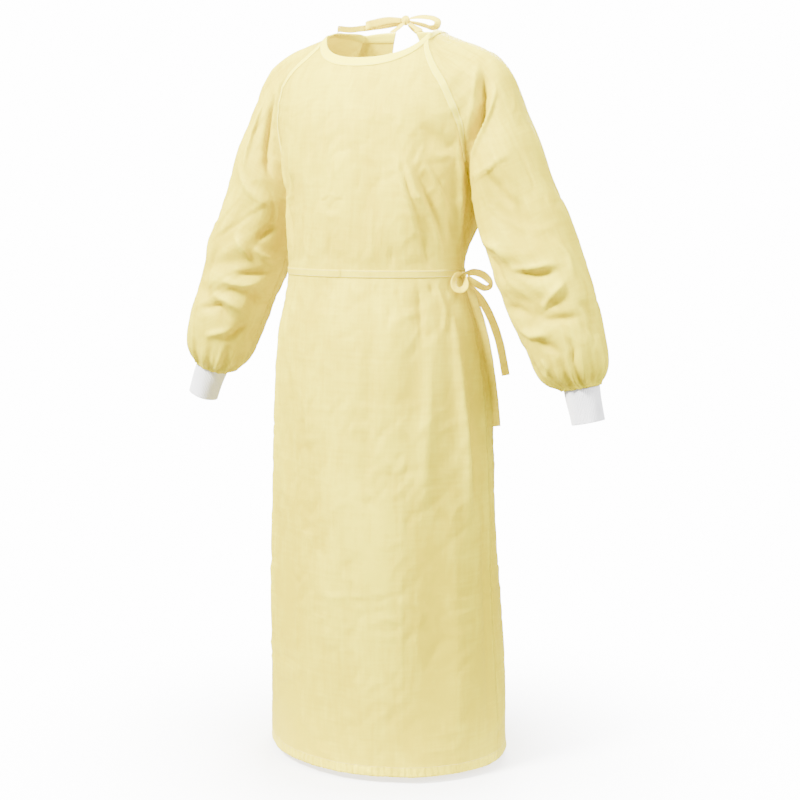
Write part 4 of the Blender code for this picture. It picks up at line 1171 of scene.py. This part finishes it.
def woven(maker, place, across, along, pitch):
    """A plain weave's height: where the thread across lies over, the thread along lies under, so the
    height is the larger of two sines' products, one half a thread on."""
    turn = 2 * math.pi / pitch
    over = (across * turn).sine() * (along * turn).sine()
    return over * 0.5 + maker.crossed(place, 60.0, 900.0) * 0.8


def cloth_material(name, light, deep, translucency, wrinkle=0.75, pucker=0.0):
    """Thin dyed cloth with painted shade: its colour is mixed towards a shade colour in the troughs and kept
    lighter on the ridges, by an attribute of the cloth's fold height and painted shade, and wanders a little
    in streaks along both threads; a fine weave, small wrinkles and the puckers of a sewn turned-up edge as
    bump;
    light comes through it."""
    maker = Maker(name)
    place, across, along = maker.across_and_along()
    fold = maker.value("ShaderNodeAttribute", output="Fac", attribute_name="fold")
    streaks = maker.crossed(place, 190.0, 16.0, 4.0)
    clouds = maker.noise(place, 9.0, 2.0) + maker.noise(maker.stretched(place, 55.0, 15.0), 1.0, 4.0)
    # painted shade and painted light: the fold height darkens the colour in the troughs and lightens it on
    # the ridges, while streaks and clouds vary the tone at random
    share = (0.45 - fold * 0.60 + (streaks - 1.0) * 1.3 + (clouds - 1.0) * 1.4).held()
    colour = maker.mixed(share, light, deep)
    wrinkles = maker.noise(place, 22.0, 6.0, 0.62) * 2.2 + maker.noise(place, 110.0, 3.0, 0.5) * 0.3
    puckers = (across * (2 * math.pi / 0.011) + maker.noise(place, 40.0) * 9.0).sine()
    height = woven(maker, place, across, along, 0.0007) * 0.10 + wrinkles + puckers * pucker
    shader = maker.value("ShaderNodeBsdfPrincipled", {
        "Base Color": colour,
        "Roughness": (streaks - 1.0) * 0.10 + 0.50,
        "Specular IOR Level": 0.14,
        "Sheen Weight": 0.05,
        "Sheen Roughness": 0.45,
        "Sheen Tint": (1.0, 0.95, 0.70, 1.0),
        "Normal": maker.bump(height, wrinkle, 0.0012),
    })
    through = maker.value("ShaderNodeBsdfTranslucent", {"Color": (*light, 1.0)})
    return maker.finish(maker.value("ShaderNodeMixShader", {0: translucency, 1: shader, 2: through}))


def knit_material(name, colour):
    """White knit: fine loops in courses, a soft nap that varies its colour a little, and painted shade that
    darkens the colour in the grooves between the ribs.
    """
    maker = Maker(name)
    place, across, along = maker.across_and_along()
    loops = (along * (2 * math.pi / 0.0011) + (across * (2 * math.pi / 0.0014)).sine() * 1.2).sine()
    nap = maker.noise(place, 900.0, 3.0)
    groove_shade = maker.value("ShaderNodeAttribute", output="Fac", attribute_name="fold")
    # painted shade: the colour darkened in the grooves between the ribs
    share = (0.30 - groove_shade * 0.35 + (nap - 0.5) * 0.25 - loops * 0.06).held()
    deep = tuple(c * 0.86 for c in colour)
    shader = maker.value("ShaderNodeBsdfPrincipled", {
        "Base Color": maker.mixed(share, colour, deep),
        "Roughness": 0.86 + (nap - 0.5) * 0.1,
        "Specular IOR Level": 0.2,
        "Sheen Weight": 0.25,
        "Sheen Roughness": 0.5,
        "Normal": maker.bump(loops * 0.5 + nap * 0.8, 0.45, 0.0005),
    })
    return maker.finish(shader)


def thread_material(name, colour):
    """Twisted thread: a slanting fine twist as bump on a soft shine."""
    maker = Maker(name)
    place = maker.value("ShaderNodeTexCoord", output="Object")
    twist = maker.noise(place, 2600.0, 2.0)
    shader = maker.value("ShaderNodeBsdfPrincipled", {
        "Base Color": maker.mixed(twist.held(), tuple(c * 0.9 for c in colour), colour),
        "Roughness": 0.55,
        "Normal": maker.bump(twist, 0.4, 0.0003),
    })
    return maker.finish(shader)


def floor_material(name, colour):
    """A matt floor with a faint unevenness, whose Alpha falls from 0.85 under the gown to 0 further out, by
    the square of the share of the way."""
    maker = Maker(name)
    place = maker.value("ShaderNodeTexCoord", output="Object")
    grain = maker.noise(place, 3.0, 2.0)
    x, y = maker.parts(place)
    radius = (x * x + y * y) ** 0.5
    fade = ((FLOOR_END - radius) / FLOOR_FADE).held()
    shader = maker.value("ShaderNodeBsdfPrincipled", {
        "Base Color": (*colour, 1.0),
        "Roughness": (grain - 0.5) * 0.05 + 0.85,
        "Specular IOR Level": 0.1,
        "Alpha": fade * fade * 0.85,
    })
    return maker.finish(shader)


# The gown's grids and finishes, worked out once and shared by the operators


class Workroom:
    """The grids of points that neighbouring pieces share, and the materials."""

    def __init__(self, sizes, colours):
        self.sizes = sizes
        front_angle, front_height, front_out = front_grid(sizes)
        front = torso_point(front_angle, front_height, front_out)
        self.front, self.front_out = slipped(front), front_out
        self.backs, self.sleeves, self.seams = {}, {}, {}
        upper = slice(LOW_COUNT - 1, None)
        for side in (1, -1):
            angle, height, out = back_grid(side, sizes)
            back = torso_point(angle, height, out)
            self.backs[side] = (slipped(back), out)
            edge = -1 if side > 0 else 0
            self.sleeves[side] = sleeve_grid(side, front[upper, edge], back[upper, 0], sizes)
            self.seams[side] = slipped(front[upper, edge]), slipped(back[upper, 0])
        colour = {key: tuple(getattr(colours, key)) for key in colours.__annotations__}
        # the cloth's own colour, and the colour of its painted shade and random mottling
        light, deep = colour["cloth"], colour["cloth_deep"]
        self.cloth = cloth_material("yellow_cloth", light, deep, 0.34)
        self.hem = cloth_material("hem_cloth", colour["hem"], deep, 0.10, pucker=0.9)
        self.band = cloth_material("band_cloth", colour["band"], light, 0.12, wrinkle=0.25)
        self.binding = cloth_material("binding_cloth", colour["binding"], light, 0.12, wrinkle=0.25)
        self.tie = cloth_material("tie_cloth", colour["tie"], deep, 0.34, wrinkle=0.15)
        self.thread = thread_material("thread", colour["thread"])
        self.knit = knit_material("white_knit", colour["knit"])


ROOM = []


def workroom(scene):
    """The shared workroom, made on its first use."""
    if not ROOM:
        ROOM.append(Workroom(scene.gown_sizes, scene.gown_colours))
    return ROOM[0]


def placed(made, node=None):
    """Puts a piece on the body, in a node's place where it stands for one."""
    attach(made, "root")
    if node:
        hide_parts(node)


def dressed(made, node):
    """Puts a finished cloth piece in its node's place."""
    placed(made, node)


def stitches(name, lines, room):
    """One piece of stitches along lines, each with its way up from the cloth."""
    rows = [stitch_row(line, up, room.sizes) for line, up in lines]
    placed(piece("stitches_" + name, *joined(rows), room.thread))


def turned_out(normals, line):
    """A line's normals, turned away from the body's axis."""
    return normals * np.sign((normals * line * (1, 1, 0)).sum(-1, keepdims=True))


def tape_piece(name, sections, run, width, material, fold=0.0, closed=False):
    """A tape from its sections, whose UV is the way round a section, width in all, and the length."""
    points, quads = tube_mesh(sections, closed)
    along = run[:, None] + 0 * sections[..., 0]
    round_ = np.linspace(0, width, sections.shape[1])[None] + 0 * along
    uv = np.stack([round_, along], -1)
    made = piece("tape_" + name, points, quads, material, uv, fold=fold + 0 * along)
    return mended(made, face_out=True)


def laid_tape(name, node, lines, way, shares, material, room, fold=0.0, closed=False):
    """A tape laid on the cloth over three lines, with a row of stitches at each of the given shares of
    the way across it."""
    low, middle, high = lines
    far = TAPE_LIFT + room.sizes.tape_thickness
    run = lengths_along(middle)
    sections = laid_sections(lines, way, TAPE_LIFT, far)
    made = tape_piece(name, sections, run, TAPE_ROUND, material, fold, closed)
    dressed(made, node)
    stitches(name, [(low + (high - low) * share + way * far, way) for share in shares], room)


def cloth_piece(name, grid, height, material, thickness, flip=False, merge=False):
    """A panel's mesh from its grid of points, with its cut as UV. Its attribute of fold height and painted
    shade is the cloth's height over its plain form as a share of FOLD_HEIGHT, which the material paints as
    shade in the troughs and light on the ridges, and lower low on the skirt and about the underarm's level,
    where painted shade makes the colour darker."""
    quads = grid_quads(*grid.shape[:2], flip=flip)
    z = grid[..., 2]
    # painted shade: the colour made darker towards the hem and in a band about the underarm's level
    painted_shade = 0.70 * smoothstep(-0.70, -1.15, z) + 0.35 * np.exp(-(((z + 0.28) / 0.13) ** 2))
    fold = np.clip(height / FOLD_HEIGHT, -1, 1) - painted_shade
    made = piece(name, grid, quads, material, uv=cloth_uv(grid), fold=fold)
    if merge:
        mended(made, merge=True)
    solidify = made.modifiers.new("Wall", "SOLIDIFY")
    solidify.thickness = thickness
    solidify.offset = 0
    solidify.use_even_offset = False
    return made


def colour_hem(made, material, rows, columns):
    """Gives the hem's rows of quads their own material."""
    made.data.materials.append(material)
    place = np.zeros(len(made.data.polygons), np.int32)
    place[: rows * (columns - 1)] = 1
    made.data.polygons.foreach_set("material_index", place)


class GOWN_OT_front(bpy.types.Operator):
    """Makes the front panel, in one piece from seam to seam, with its hem"""

    bl_idname = "gown.front"
    bl_label = "Front panel"

    def execute(self, context):
        room = workroom(context.scene)
        made = cloth_piece("cloth_front", room.front, room.front_out, room.cloth, room.sizes.cloth_thickness)
        colour_hem(made, room.hem, HEM_ROWS, room.front.shape[1])
        dressed(made, "front_panel")
        return {"FINISHED"}


class GOWN_OT_backs(bpy.types.Operator):
    """Makes the two back panels, which overlap below the waist and part above it"""

    bl_idname = "gown.backs"
    bl_label = "Back panels"

    def execute(self, context):
        room = workroom(context.scene)
        for side, word in SIDE_WORDS.items():
            grid, out = room.backs[side]
            name = "cloth_back_" + word
            made = cloth_piece(name, grid, out, room.cloth, room.sizes.cloth_thickness, flip=side < 0)
            colour_hem(made, room.hem, HEM_ROWS, grid.shape[1])
            dressed(made, "back_panel_" + word)
        return {"FINISHED"}


class GOWN_OT_sleeves(bpy.types.Operator):
    """Makes the two raglan sleeves, gathered at the cuffs"""

    bl_idname = "gown.sleeves"
    bl_label = "Sleeves"

    def execute(self, context):
        room = workroom(context.scene)
        for side, word in SIDE_WORDS.items():
            grid, height = room.sleeves[side]
            grid, height = seamed(grid, *room.seams[side]), np.pad(height, ((0, 0), (1, 1)), mode="edge")
            name = "cloth_sleeve_" + word
            thickness = room.sizes.cloth_thickness
            made = cloth_piece(name, grid, height, room.cloth, thickness, flip=side > 0, merge=True)
            dressed(made, "sleeve_" + word)
        return {"FINISHED"}


def neck_lines(room):
    """The neck edge from the right back panel round the front to the left one: the binding's lower
    line and the edge itself."""
    runs = []
    for row, sleeve_row in ((-3, 2), (-1, 0)):
        right = [room.backs[-1][0][row][::-1], room.sleeves[-1][0][sleeve_row][::-1][1:]]
        left = [room.sleeves[1][0][sleeve_row][1:], room.backs[1][0][row][1:]]
        runs.append(np.concatenate([*right, room.front[row][1:], *left]))
    return [smoothed(line, 5) for line in runs]


class GOWN_OT_binding(bpy.types.Operator):
    """Makes the tape folded over the neck edge, with its row of stitches"""

    bl_idname = "gown.binding"
    bl_label = "Neck binding"

    def execute(self, context):
        room = workroom(context.scene)
        low, top = neck_lines(room)
        ahead = np.gradient(top, axis=0)
        up = unit(top - low)
        out = smoothed(unit(np.cross(ahead, up)), 7)
        up = unit(up - out * (out * up).sum(-1, keepdims=True))
        thick = room.sizes.tape_thickness
        near, far = BINDING_LIFT, BINDING_LIFT + thick
        share = np.array([0.0, 0.05, 0.35, 0.7, 0.95])[:, None]
        line = low[:, None] * (1 - share) + top[:, None] * share
        lift = np.array([near + 0.5 * thick, far, far, far, far])[:, None]
        crest = top + up * (thick + BINDING_CREST)
        outer = line + out[:, None] * lift
        inner = line - out[:, None] * lift
        sections = np.concatenate([
            outer, (crest + out * far * 0.6)[:, None], (crest + up * 0.0002)[:, None],
            (crest - out * far * 0.6)[:, None], inner[:, ::-1],
            (low - out * near)[:, None], (top - up * 0.001)[:, None], (low + out * near)[:, None],
        ], axis=1)
        made = tape_piece("binding", sections, lengths_along(top), BINDING_ROUND, room.binding)
        dressed(made, "neck_binding")
        seam = low + (top - low) * BINDING_STITCHES + out * (far + STITCH_LIFT)
        stitches("binding", [(seam, out)], room)
        return {"FINISHED"}


def band_lines(grid, edge_first):
    """Three lines along a raglan band, read from each raglan row at its running length from the seam."""
    rows = grid if edge_first else grid[:, ::-1]
    runs = lengths_along(rows)
    return [
        np.array([read_at(at, run, row) for run, row in zip(runs, rows)])
        for at in (BAND_START, BAND_START + BAND_WIDTH / 2, BAND_START + BAND_WIDTH)
    ]


class GOWN_OT_bands(bpy.types.Operator):
    """Makes the four tapes on the body side of the raglan seams, stitched along both edges"""

    bl_idname = "gown.bands"
    bl_label = "Raglan bands"

    def execute(self, context):
        room = workroom(context.scene)
        rows = slice(LOW_COUNT + 14, LOW_COUNT + len(RAGLAN_SHARES) - 3)
        for side, word in SIDE_WORDS.items():
            panels = (
                ("front_" + word, "front_panel", room.front, side < 0),
                ("back_" + word, "back_panel_" + word, room.backs[side][0], True),
            )
            for name, panel, grid, edge_first in panels:
                lines = low, middle, high = band_lines(grid[rows], edge_first)
                way = turned_out(unit(np.cross(np.gradient(middle, axis=0), high - low)), middle)
                faded = 1.2 * (smoothstep(0.0, 0.05, lengths_along(middle)) - 1)
                laid_tape(
                    "band_" + name, "raglan_band_" + name, lines, way, BAND_STITCHES,
                    room.band, room, fold=faded[:, None],
                )
        return {"FINISHED"}


def belt_path(room):
    """Three closed lines round the waist on the cloth, at the belt's lower edge, middle and upper edge,
    stepping down from the left back panel to the right one where the left one ends."""
    around = np.arange(360.0)
    angle = np.where(around <= BELT_TURN, around, around - 360)
    step = OVERLAP_STEP * smoothstep(150, 163, around) * (1 - smoothstep(BELT_TURN, 196, around))
    lines = []
    for height in (WAIST - BELT_HALF, WAIST, WAIST + BELT_HALF):
        level = np.full(len(angle), height)
        lines.append(slipped(torso_point(angle, level, torso_height(angle, level, room.sizes) + step)))
    return lines


class GOWN_OT_belt(bpy.types.Operator):
    """Makes the belt tape that runs round the waist to its bow at the wearer's left"""

    bl_idname = "gown.belt"
    bl_label = "Waist belt"

    def execute(self, context):
        room = workroom(context.scene)
        lines = belt_path(room)
        ahead = np.roll(lines[1], -1, axis=0) - np.roll(lines[1], 1, axis=0)
        way = unit(np.cross(ahead, UPWARD))
        laid_tape(
            "belt", "waist_belt", lines, way, BELT_STITCHES, room.cloth, room,
            closed=True,
        )
        return {"FINISHED"}


def meet_knot(rows, knot):
    """A strip's rows with each end that is near a knot brought onto it, a small gap out."""
    centre, half_sizes = knot
    for end in (0, -1):
        way = rows[end, :3] - centre
        if np.linalg.norm(way) < KNOT_REACH:
            rows[end, :3] = centre + way / np.linalg.norm(way / half_sizes) + unit(way) * KNOT_GAP
    return rows


def strip_piece(name, rows, level, room):
    """A flat strip through the rows' points with their lean and width, one edge a little wavy, and a
    row of stitches beside one edge."""
    length = lengths_along(rows[:, :3])[-1]
    path = sampled(rows, max(24, round(length / STRIP_STEP)))
    points, lean, width = path[:, :3], np.radians(path[:, 3:4]), path[:, 4]
    ahead = unit(np.gradient(points, axis=0))
    flat = unit(level - ahead * (ahead @ level)[:, None])
    across = np.cos(lean) * flat + np.sin(lean) * np.cross(ahead, flat)
    up = np.cross(ahead, across)
    run = lengths_along(points)
    narrowed = width * (1 - 0.03 * np.sin(run / 0.011) ** 2)
    sections = strip_sections(points, across, up, narrowed, room.sizes.tape_thickness)
    made = tape_piece(name, sections, run, TAPE_ROUND, room.tie)
    dressed(made, name)
    beside = points + across * (width / 2 - STRIP_STITCH_INSET)[:, None]
    lift = room.sizes.tape_thickness / 2 + STITCH_LIFT
    stitches(name, [(beside + up * lift * s, up * s) for s in (1, -1)], room)


def knot_piece(name, node, knot, turn, room):
    """A pulled knot: an ellipsoid whose surface is raised in slanting wraps, its radius 0.90 + 0.13 |cos| to
    the power 0.8 of three half turns round it that climb with the height, with a small ripple."""
    centre, half_sizes = knot
    polar = np.pi * np.linspace(0, 1, KNOT_ROWS)[:, None]
    u = np.linspace(0, 2 * np.pi, KNOT_COLUMNS + 1)[None, :-1]
    wraps = np.abs(np.cos(1.5 * u + 2.2 * polar + turn)) ** 0.8
    radius = 0.90 + 0.13 * wraps * np.sin(polar) + 0.03 * np.sin(7 * u + 3 * polar)
    shape = np.stack([np.sin(polar) * np.cos(u), np.sin(polar) * np.sin(u), np.cos(polar) + 0 * u], -1)
    points = centre + shape * half_sizes * radius[..., None]
    quads = grid_quads(KNOT_ROWS, KNOT_COLUMNS, wrap=True)
    uv = 0.006 * np.stack(np.broadcast_arrays(u, polar), -1)
    # painted shade between the raised wraps and painted light on them, through the tie's shade colour
    made = piece(name, points, quads, room.tie, uv, fold=wraps * 0.6 - 0.3)
    placed(mended(made, merge=True, face_out=True), node)


class GOWN_OT_bows(bpy.types.Operator):
    """Makes the bow at the waist and the bow at the back of the neck, strip by strip"""

    bl_idname = "gown.bows"
    bl_label = "Bows"

    def execute(self, context):
        room = workroom(context.scene)
        knot_piece("knot_waist", "waist_knot", WAIST_KNOT, 0.4, room)
        for name, (level, rows) in WAIST_STRIPS.items():
            if name in WAIST_TAILS:
                rows = np.array(rows) / (1, MILLI, MILLI, 1, MILLI)
                rows[:, :3] = torso_point(rows[:, 0], rows[:, 1], rows[:, 2])
            else:
                rows = np.array(rows) / STRIP_UNITS
            strip_piece(name, meet_knot(rows, WAIST_KNOT), level, room)
        knot_piece("knot_neck", "neck_knot", NECK_KNOT, 1.3, room)
        for name, (level, rows) in NECK_STRIPS.items():
            rows = np.array(rows) / STRIP_UNITS
            strip_piece(name, meet_knot(rows, NECK_KNOT), level, room)
        return {"FINISHED"}


class GOWN_OT_hem_stitches(bpy.types.Operator):
    """Makes the rows of stitches round the hem and up the back edges"""

    bl_idname = "gown.hem_stitches"
    bl_label = "Hem stitches"

    def execute(self, context):
        room = workroom(context.scene)
        lift = room.sizes.cloth_thickness / 2 + STITCH_LIFT
        left, right = room.backs[1][0], room.backs[-1][0]
        lines = [(grid[HEM_ROWS], grid_normals(grid)[HEM_ROWS]) for grid in (room.front, left, right)]
        lines += [(grid[:-4, EDGE_COLUMN], grid_normals(grid)[:-4, EDGE_COLUMN]) for grid in (left, right)]
        ways = [turned_out(normals, line) for line, normals in lines]
        stitches("hem", [(line + way * lift, way) for (line, _), way in zip(lines, ways)], room)
        return {"FINISHED"}


class GOWN_OT_cuffs(bpy.types.Operator):
    """Makes the two knit cuffs, ribbed along their length, each folded back into itself at its end"""

    bl_idname = "gown.cuffs"
    bl_label = "Knit cuffs"

    def execute(self, context):
        room = workroom(context.scene)
        sizes = room.sizes
        for side, word in SIDE_WORDS.items():
            outward = lean_vector(CUFF_LEAN[side])
            way = np.array([outward[2], 0.0, -outward[0]])
            turn = np.linspace(0, 2 * np.pi, 6 * sizes.cuff_ribs + 1)[None, :-1]
            at_out = np.linspace(-CUFF_LAP, CUFF_LENGTH - CUFF_END_ROUND, 30)
            bend = np.linspace(0, np.pi, 6)[1:-1]
            at_end = CUFF_LENGTH - CUFF_END_ROUND + CUFF_END_ROUND * np.sin(bend)
            at = np.concatenate([at_out, at_end, at_out[::-1][::2]])
            turned_in = CUFF_WALL / 2 * (1 - np.cos(bend))
            inset = np.concatenate([0 * at_out, turned_in, CUFF_WALL + 0 * at_out[::2]])
            share = smoothstep(-0.02, CUFF_LENGTH, at)
            radius = CUFF_RADIUS_TOP + (CUFF_RADIUS_END - CUFF_RADIUS_TOP) * share - inset
            rib = np.cos(sizes.cuff_ribs * turn + 0.25 * np.sin(40 * at[:, None]))
            sway = 0.0005 * np.sin(3 * turn + 30 * at[:, None]) + 0.0004 * np.sin(5 * turn - 55 * at[:, None])
            full = radius[:, None] + sizes.rib_depth * rib + sway * smoothstep(0.0, 0.03, at)[:, None]
            ring = np.cos(turn)[..., None] * outward + np.sin(turn)[..., None] * FORWARD
            points = SLEEVE_END[side] + way * at[:, None, None] + full[..., None] * ring
            if side < 0:
                points = mirrored(points)
            quads = grid_quads(len(at), points.shape[1], wrap=True, flip=side < 0)
            run = lengths_along(np.stack([at, inset, 0 * at], -1)[None])[0]
            uv = np.stack([turn * 0.028 + 0 * at[:, None], run[:, None] + 0 * turn], -1)
            # painted shade: the rib value darkens the knit's colour in the grooves between the ribs
            made = piece("knit_cuff_" + word, points, quads, room.knit, uv, fold=rib)
            mended(made, face_out=True)
            dressed(made, "cuff_" + word)
        return {"FINISHED"}


# The studio


def area_light(name, place, aim, energy, size, colour):
    """A square soft light at place, turned towards aim."""
    light = bpy.data.lights.new(name, "AREA")
    light.energy = energy
    light.size = size
    light.color = colour
    made = bpy.data.objects.new(name, light)
    made.location = place
    made.rotation_euler = (Vector(aim) - Vector(place)).to_track_quat("-Z", "Y").to_euler()
    bpy.context.scene.collection.objects.link(made)


class GOWN_OT_stage(bpy.types.Operator):
    """Makes the camera, the floor and the studio's soft light"""

    bl_idname = "gown.stage"
    bl_label = "Stage"

    def execute(self, context):
        scene = context.scene
        camera = bpy.data.cameras.new("camera")
        camera.lens = CAMERA_LENS
        camera.sensor_width = CAMERA_SENSOR
        viewer = bpy.data.objects.new("camera", camera)
        viewer.location = CAMERA_PLACE
        level = math.cos(CAMERA_DOWN)
        look = Vector((-math.sin(CAMERA_TURN) * level, math.cos(CAMERA_TURN) * level, -math.sin(CAMERA_DOWN)))
        viewer.rotation_euler = look.to_track_quat("-Z", "Y").to_euler()
        scene.collection.objects.link(viewer)
        scene.camera = viewer
        edge = np.linspace(-FLOOR_HALF, FLOOR_HALF, FLOOR_POINTS)
        x, y = np.meshgrid(edge, edge)
        grid = np.stack([x, y, 0 * x + HEM - FLOOR_GAP], -1)
        quads = grid_quads(FLOOR_POINTS, FLOOR_POINTS)
        piece("floor", grid, quads, floor_material("floor", tuple(scene.gown_colours.floor)))
        world = bpy.data.worlds.new("studio")
        world.use_nodes = True
        nodes = world.node_tree.nodes
        sky = nodes["Background"]
        sky.inputs["Color"].default_value = (1.0, 1.0, 1.0, 1.0)
        seen = nodes.new("ShaderNodeLightPath")
        strength = nodes.new("ShaderNodeMapRange")
        strength.inputs["To Min"].default_value = WORLD_STRENGTH
        strength.inputs["To Max"].default_value = BACKGROUND_STRENGTH
        world.node_tree.links.new(seen.outputs["Is Camera Ray"], strength.inputs["Value"])
        world.node_tree.links.new(strength.outputs["Result"], sky.inputs["Strength"])
        scene.world = world
        for light in LIGHTS:
            area_light(*light)
        return {"FINISHED"}


class GOWN_PT_panel(bpy.types.Panel):
    """The gown's sizes, colours and steps in the sidebar"""

    bl_label = "Isolation gown"
    bl_idname = "GOWN_PT_panel"
    bl_space_type = "VIEW_3D"
    bl_region_type = "UI"
    bl_category = "Gown"

    def draw(self, context):
        for group in (context.scene.gown_sizes, context.scene.gown_colours):
            box = self.layout.box()
            for key in group.__annotations__:
                box.prop(group, key)
        for operator in OPERATORS:
            self.layout.operator(operator.bl_idname)


OPERATORS = (
    GOWN_OT_stage, GOWN_OT_front, GOWN_OT_backs, GOWN_OT_sleeves, GOWN_OT_cuffs, GOWN_OT_binding,
    GOWN_OT_bands, GOWN_OT_belt, GOWN_OT_bows, GOWN_OT_hem_stitches,
)
CLASSES = (GownSizes, GownColours, *OPERATORS, GOWN_PT_panel)


def register():
    for made in CLASSES:
        bpy.utils.register_class(made)
    bpy.types.Scene.gown_sizes = bpy.props.PointerProperty(type=GownSizes)
    bpy.types.Scene.gown_colours = bpy.props.PointerProperty(type=GownColours)


def unregister():
    del bpy.types.Scene.gown_sizes
    del bpy.types.Scene.gown_colours
    for made in reversed(CLASSES):
        bpy.utils.unregister_class(made)


def main():
    """Registers the classes and makes the stage and every piece."""
    register()
    for operator in OPERATORS:
        step = operator.bl_idname.split(".")[1]
        getattr(bpy.ops.gown, step)()


if __name__ == "__main__":
    main()
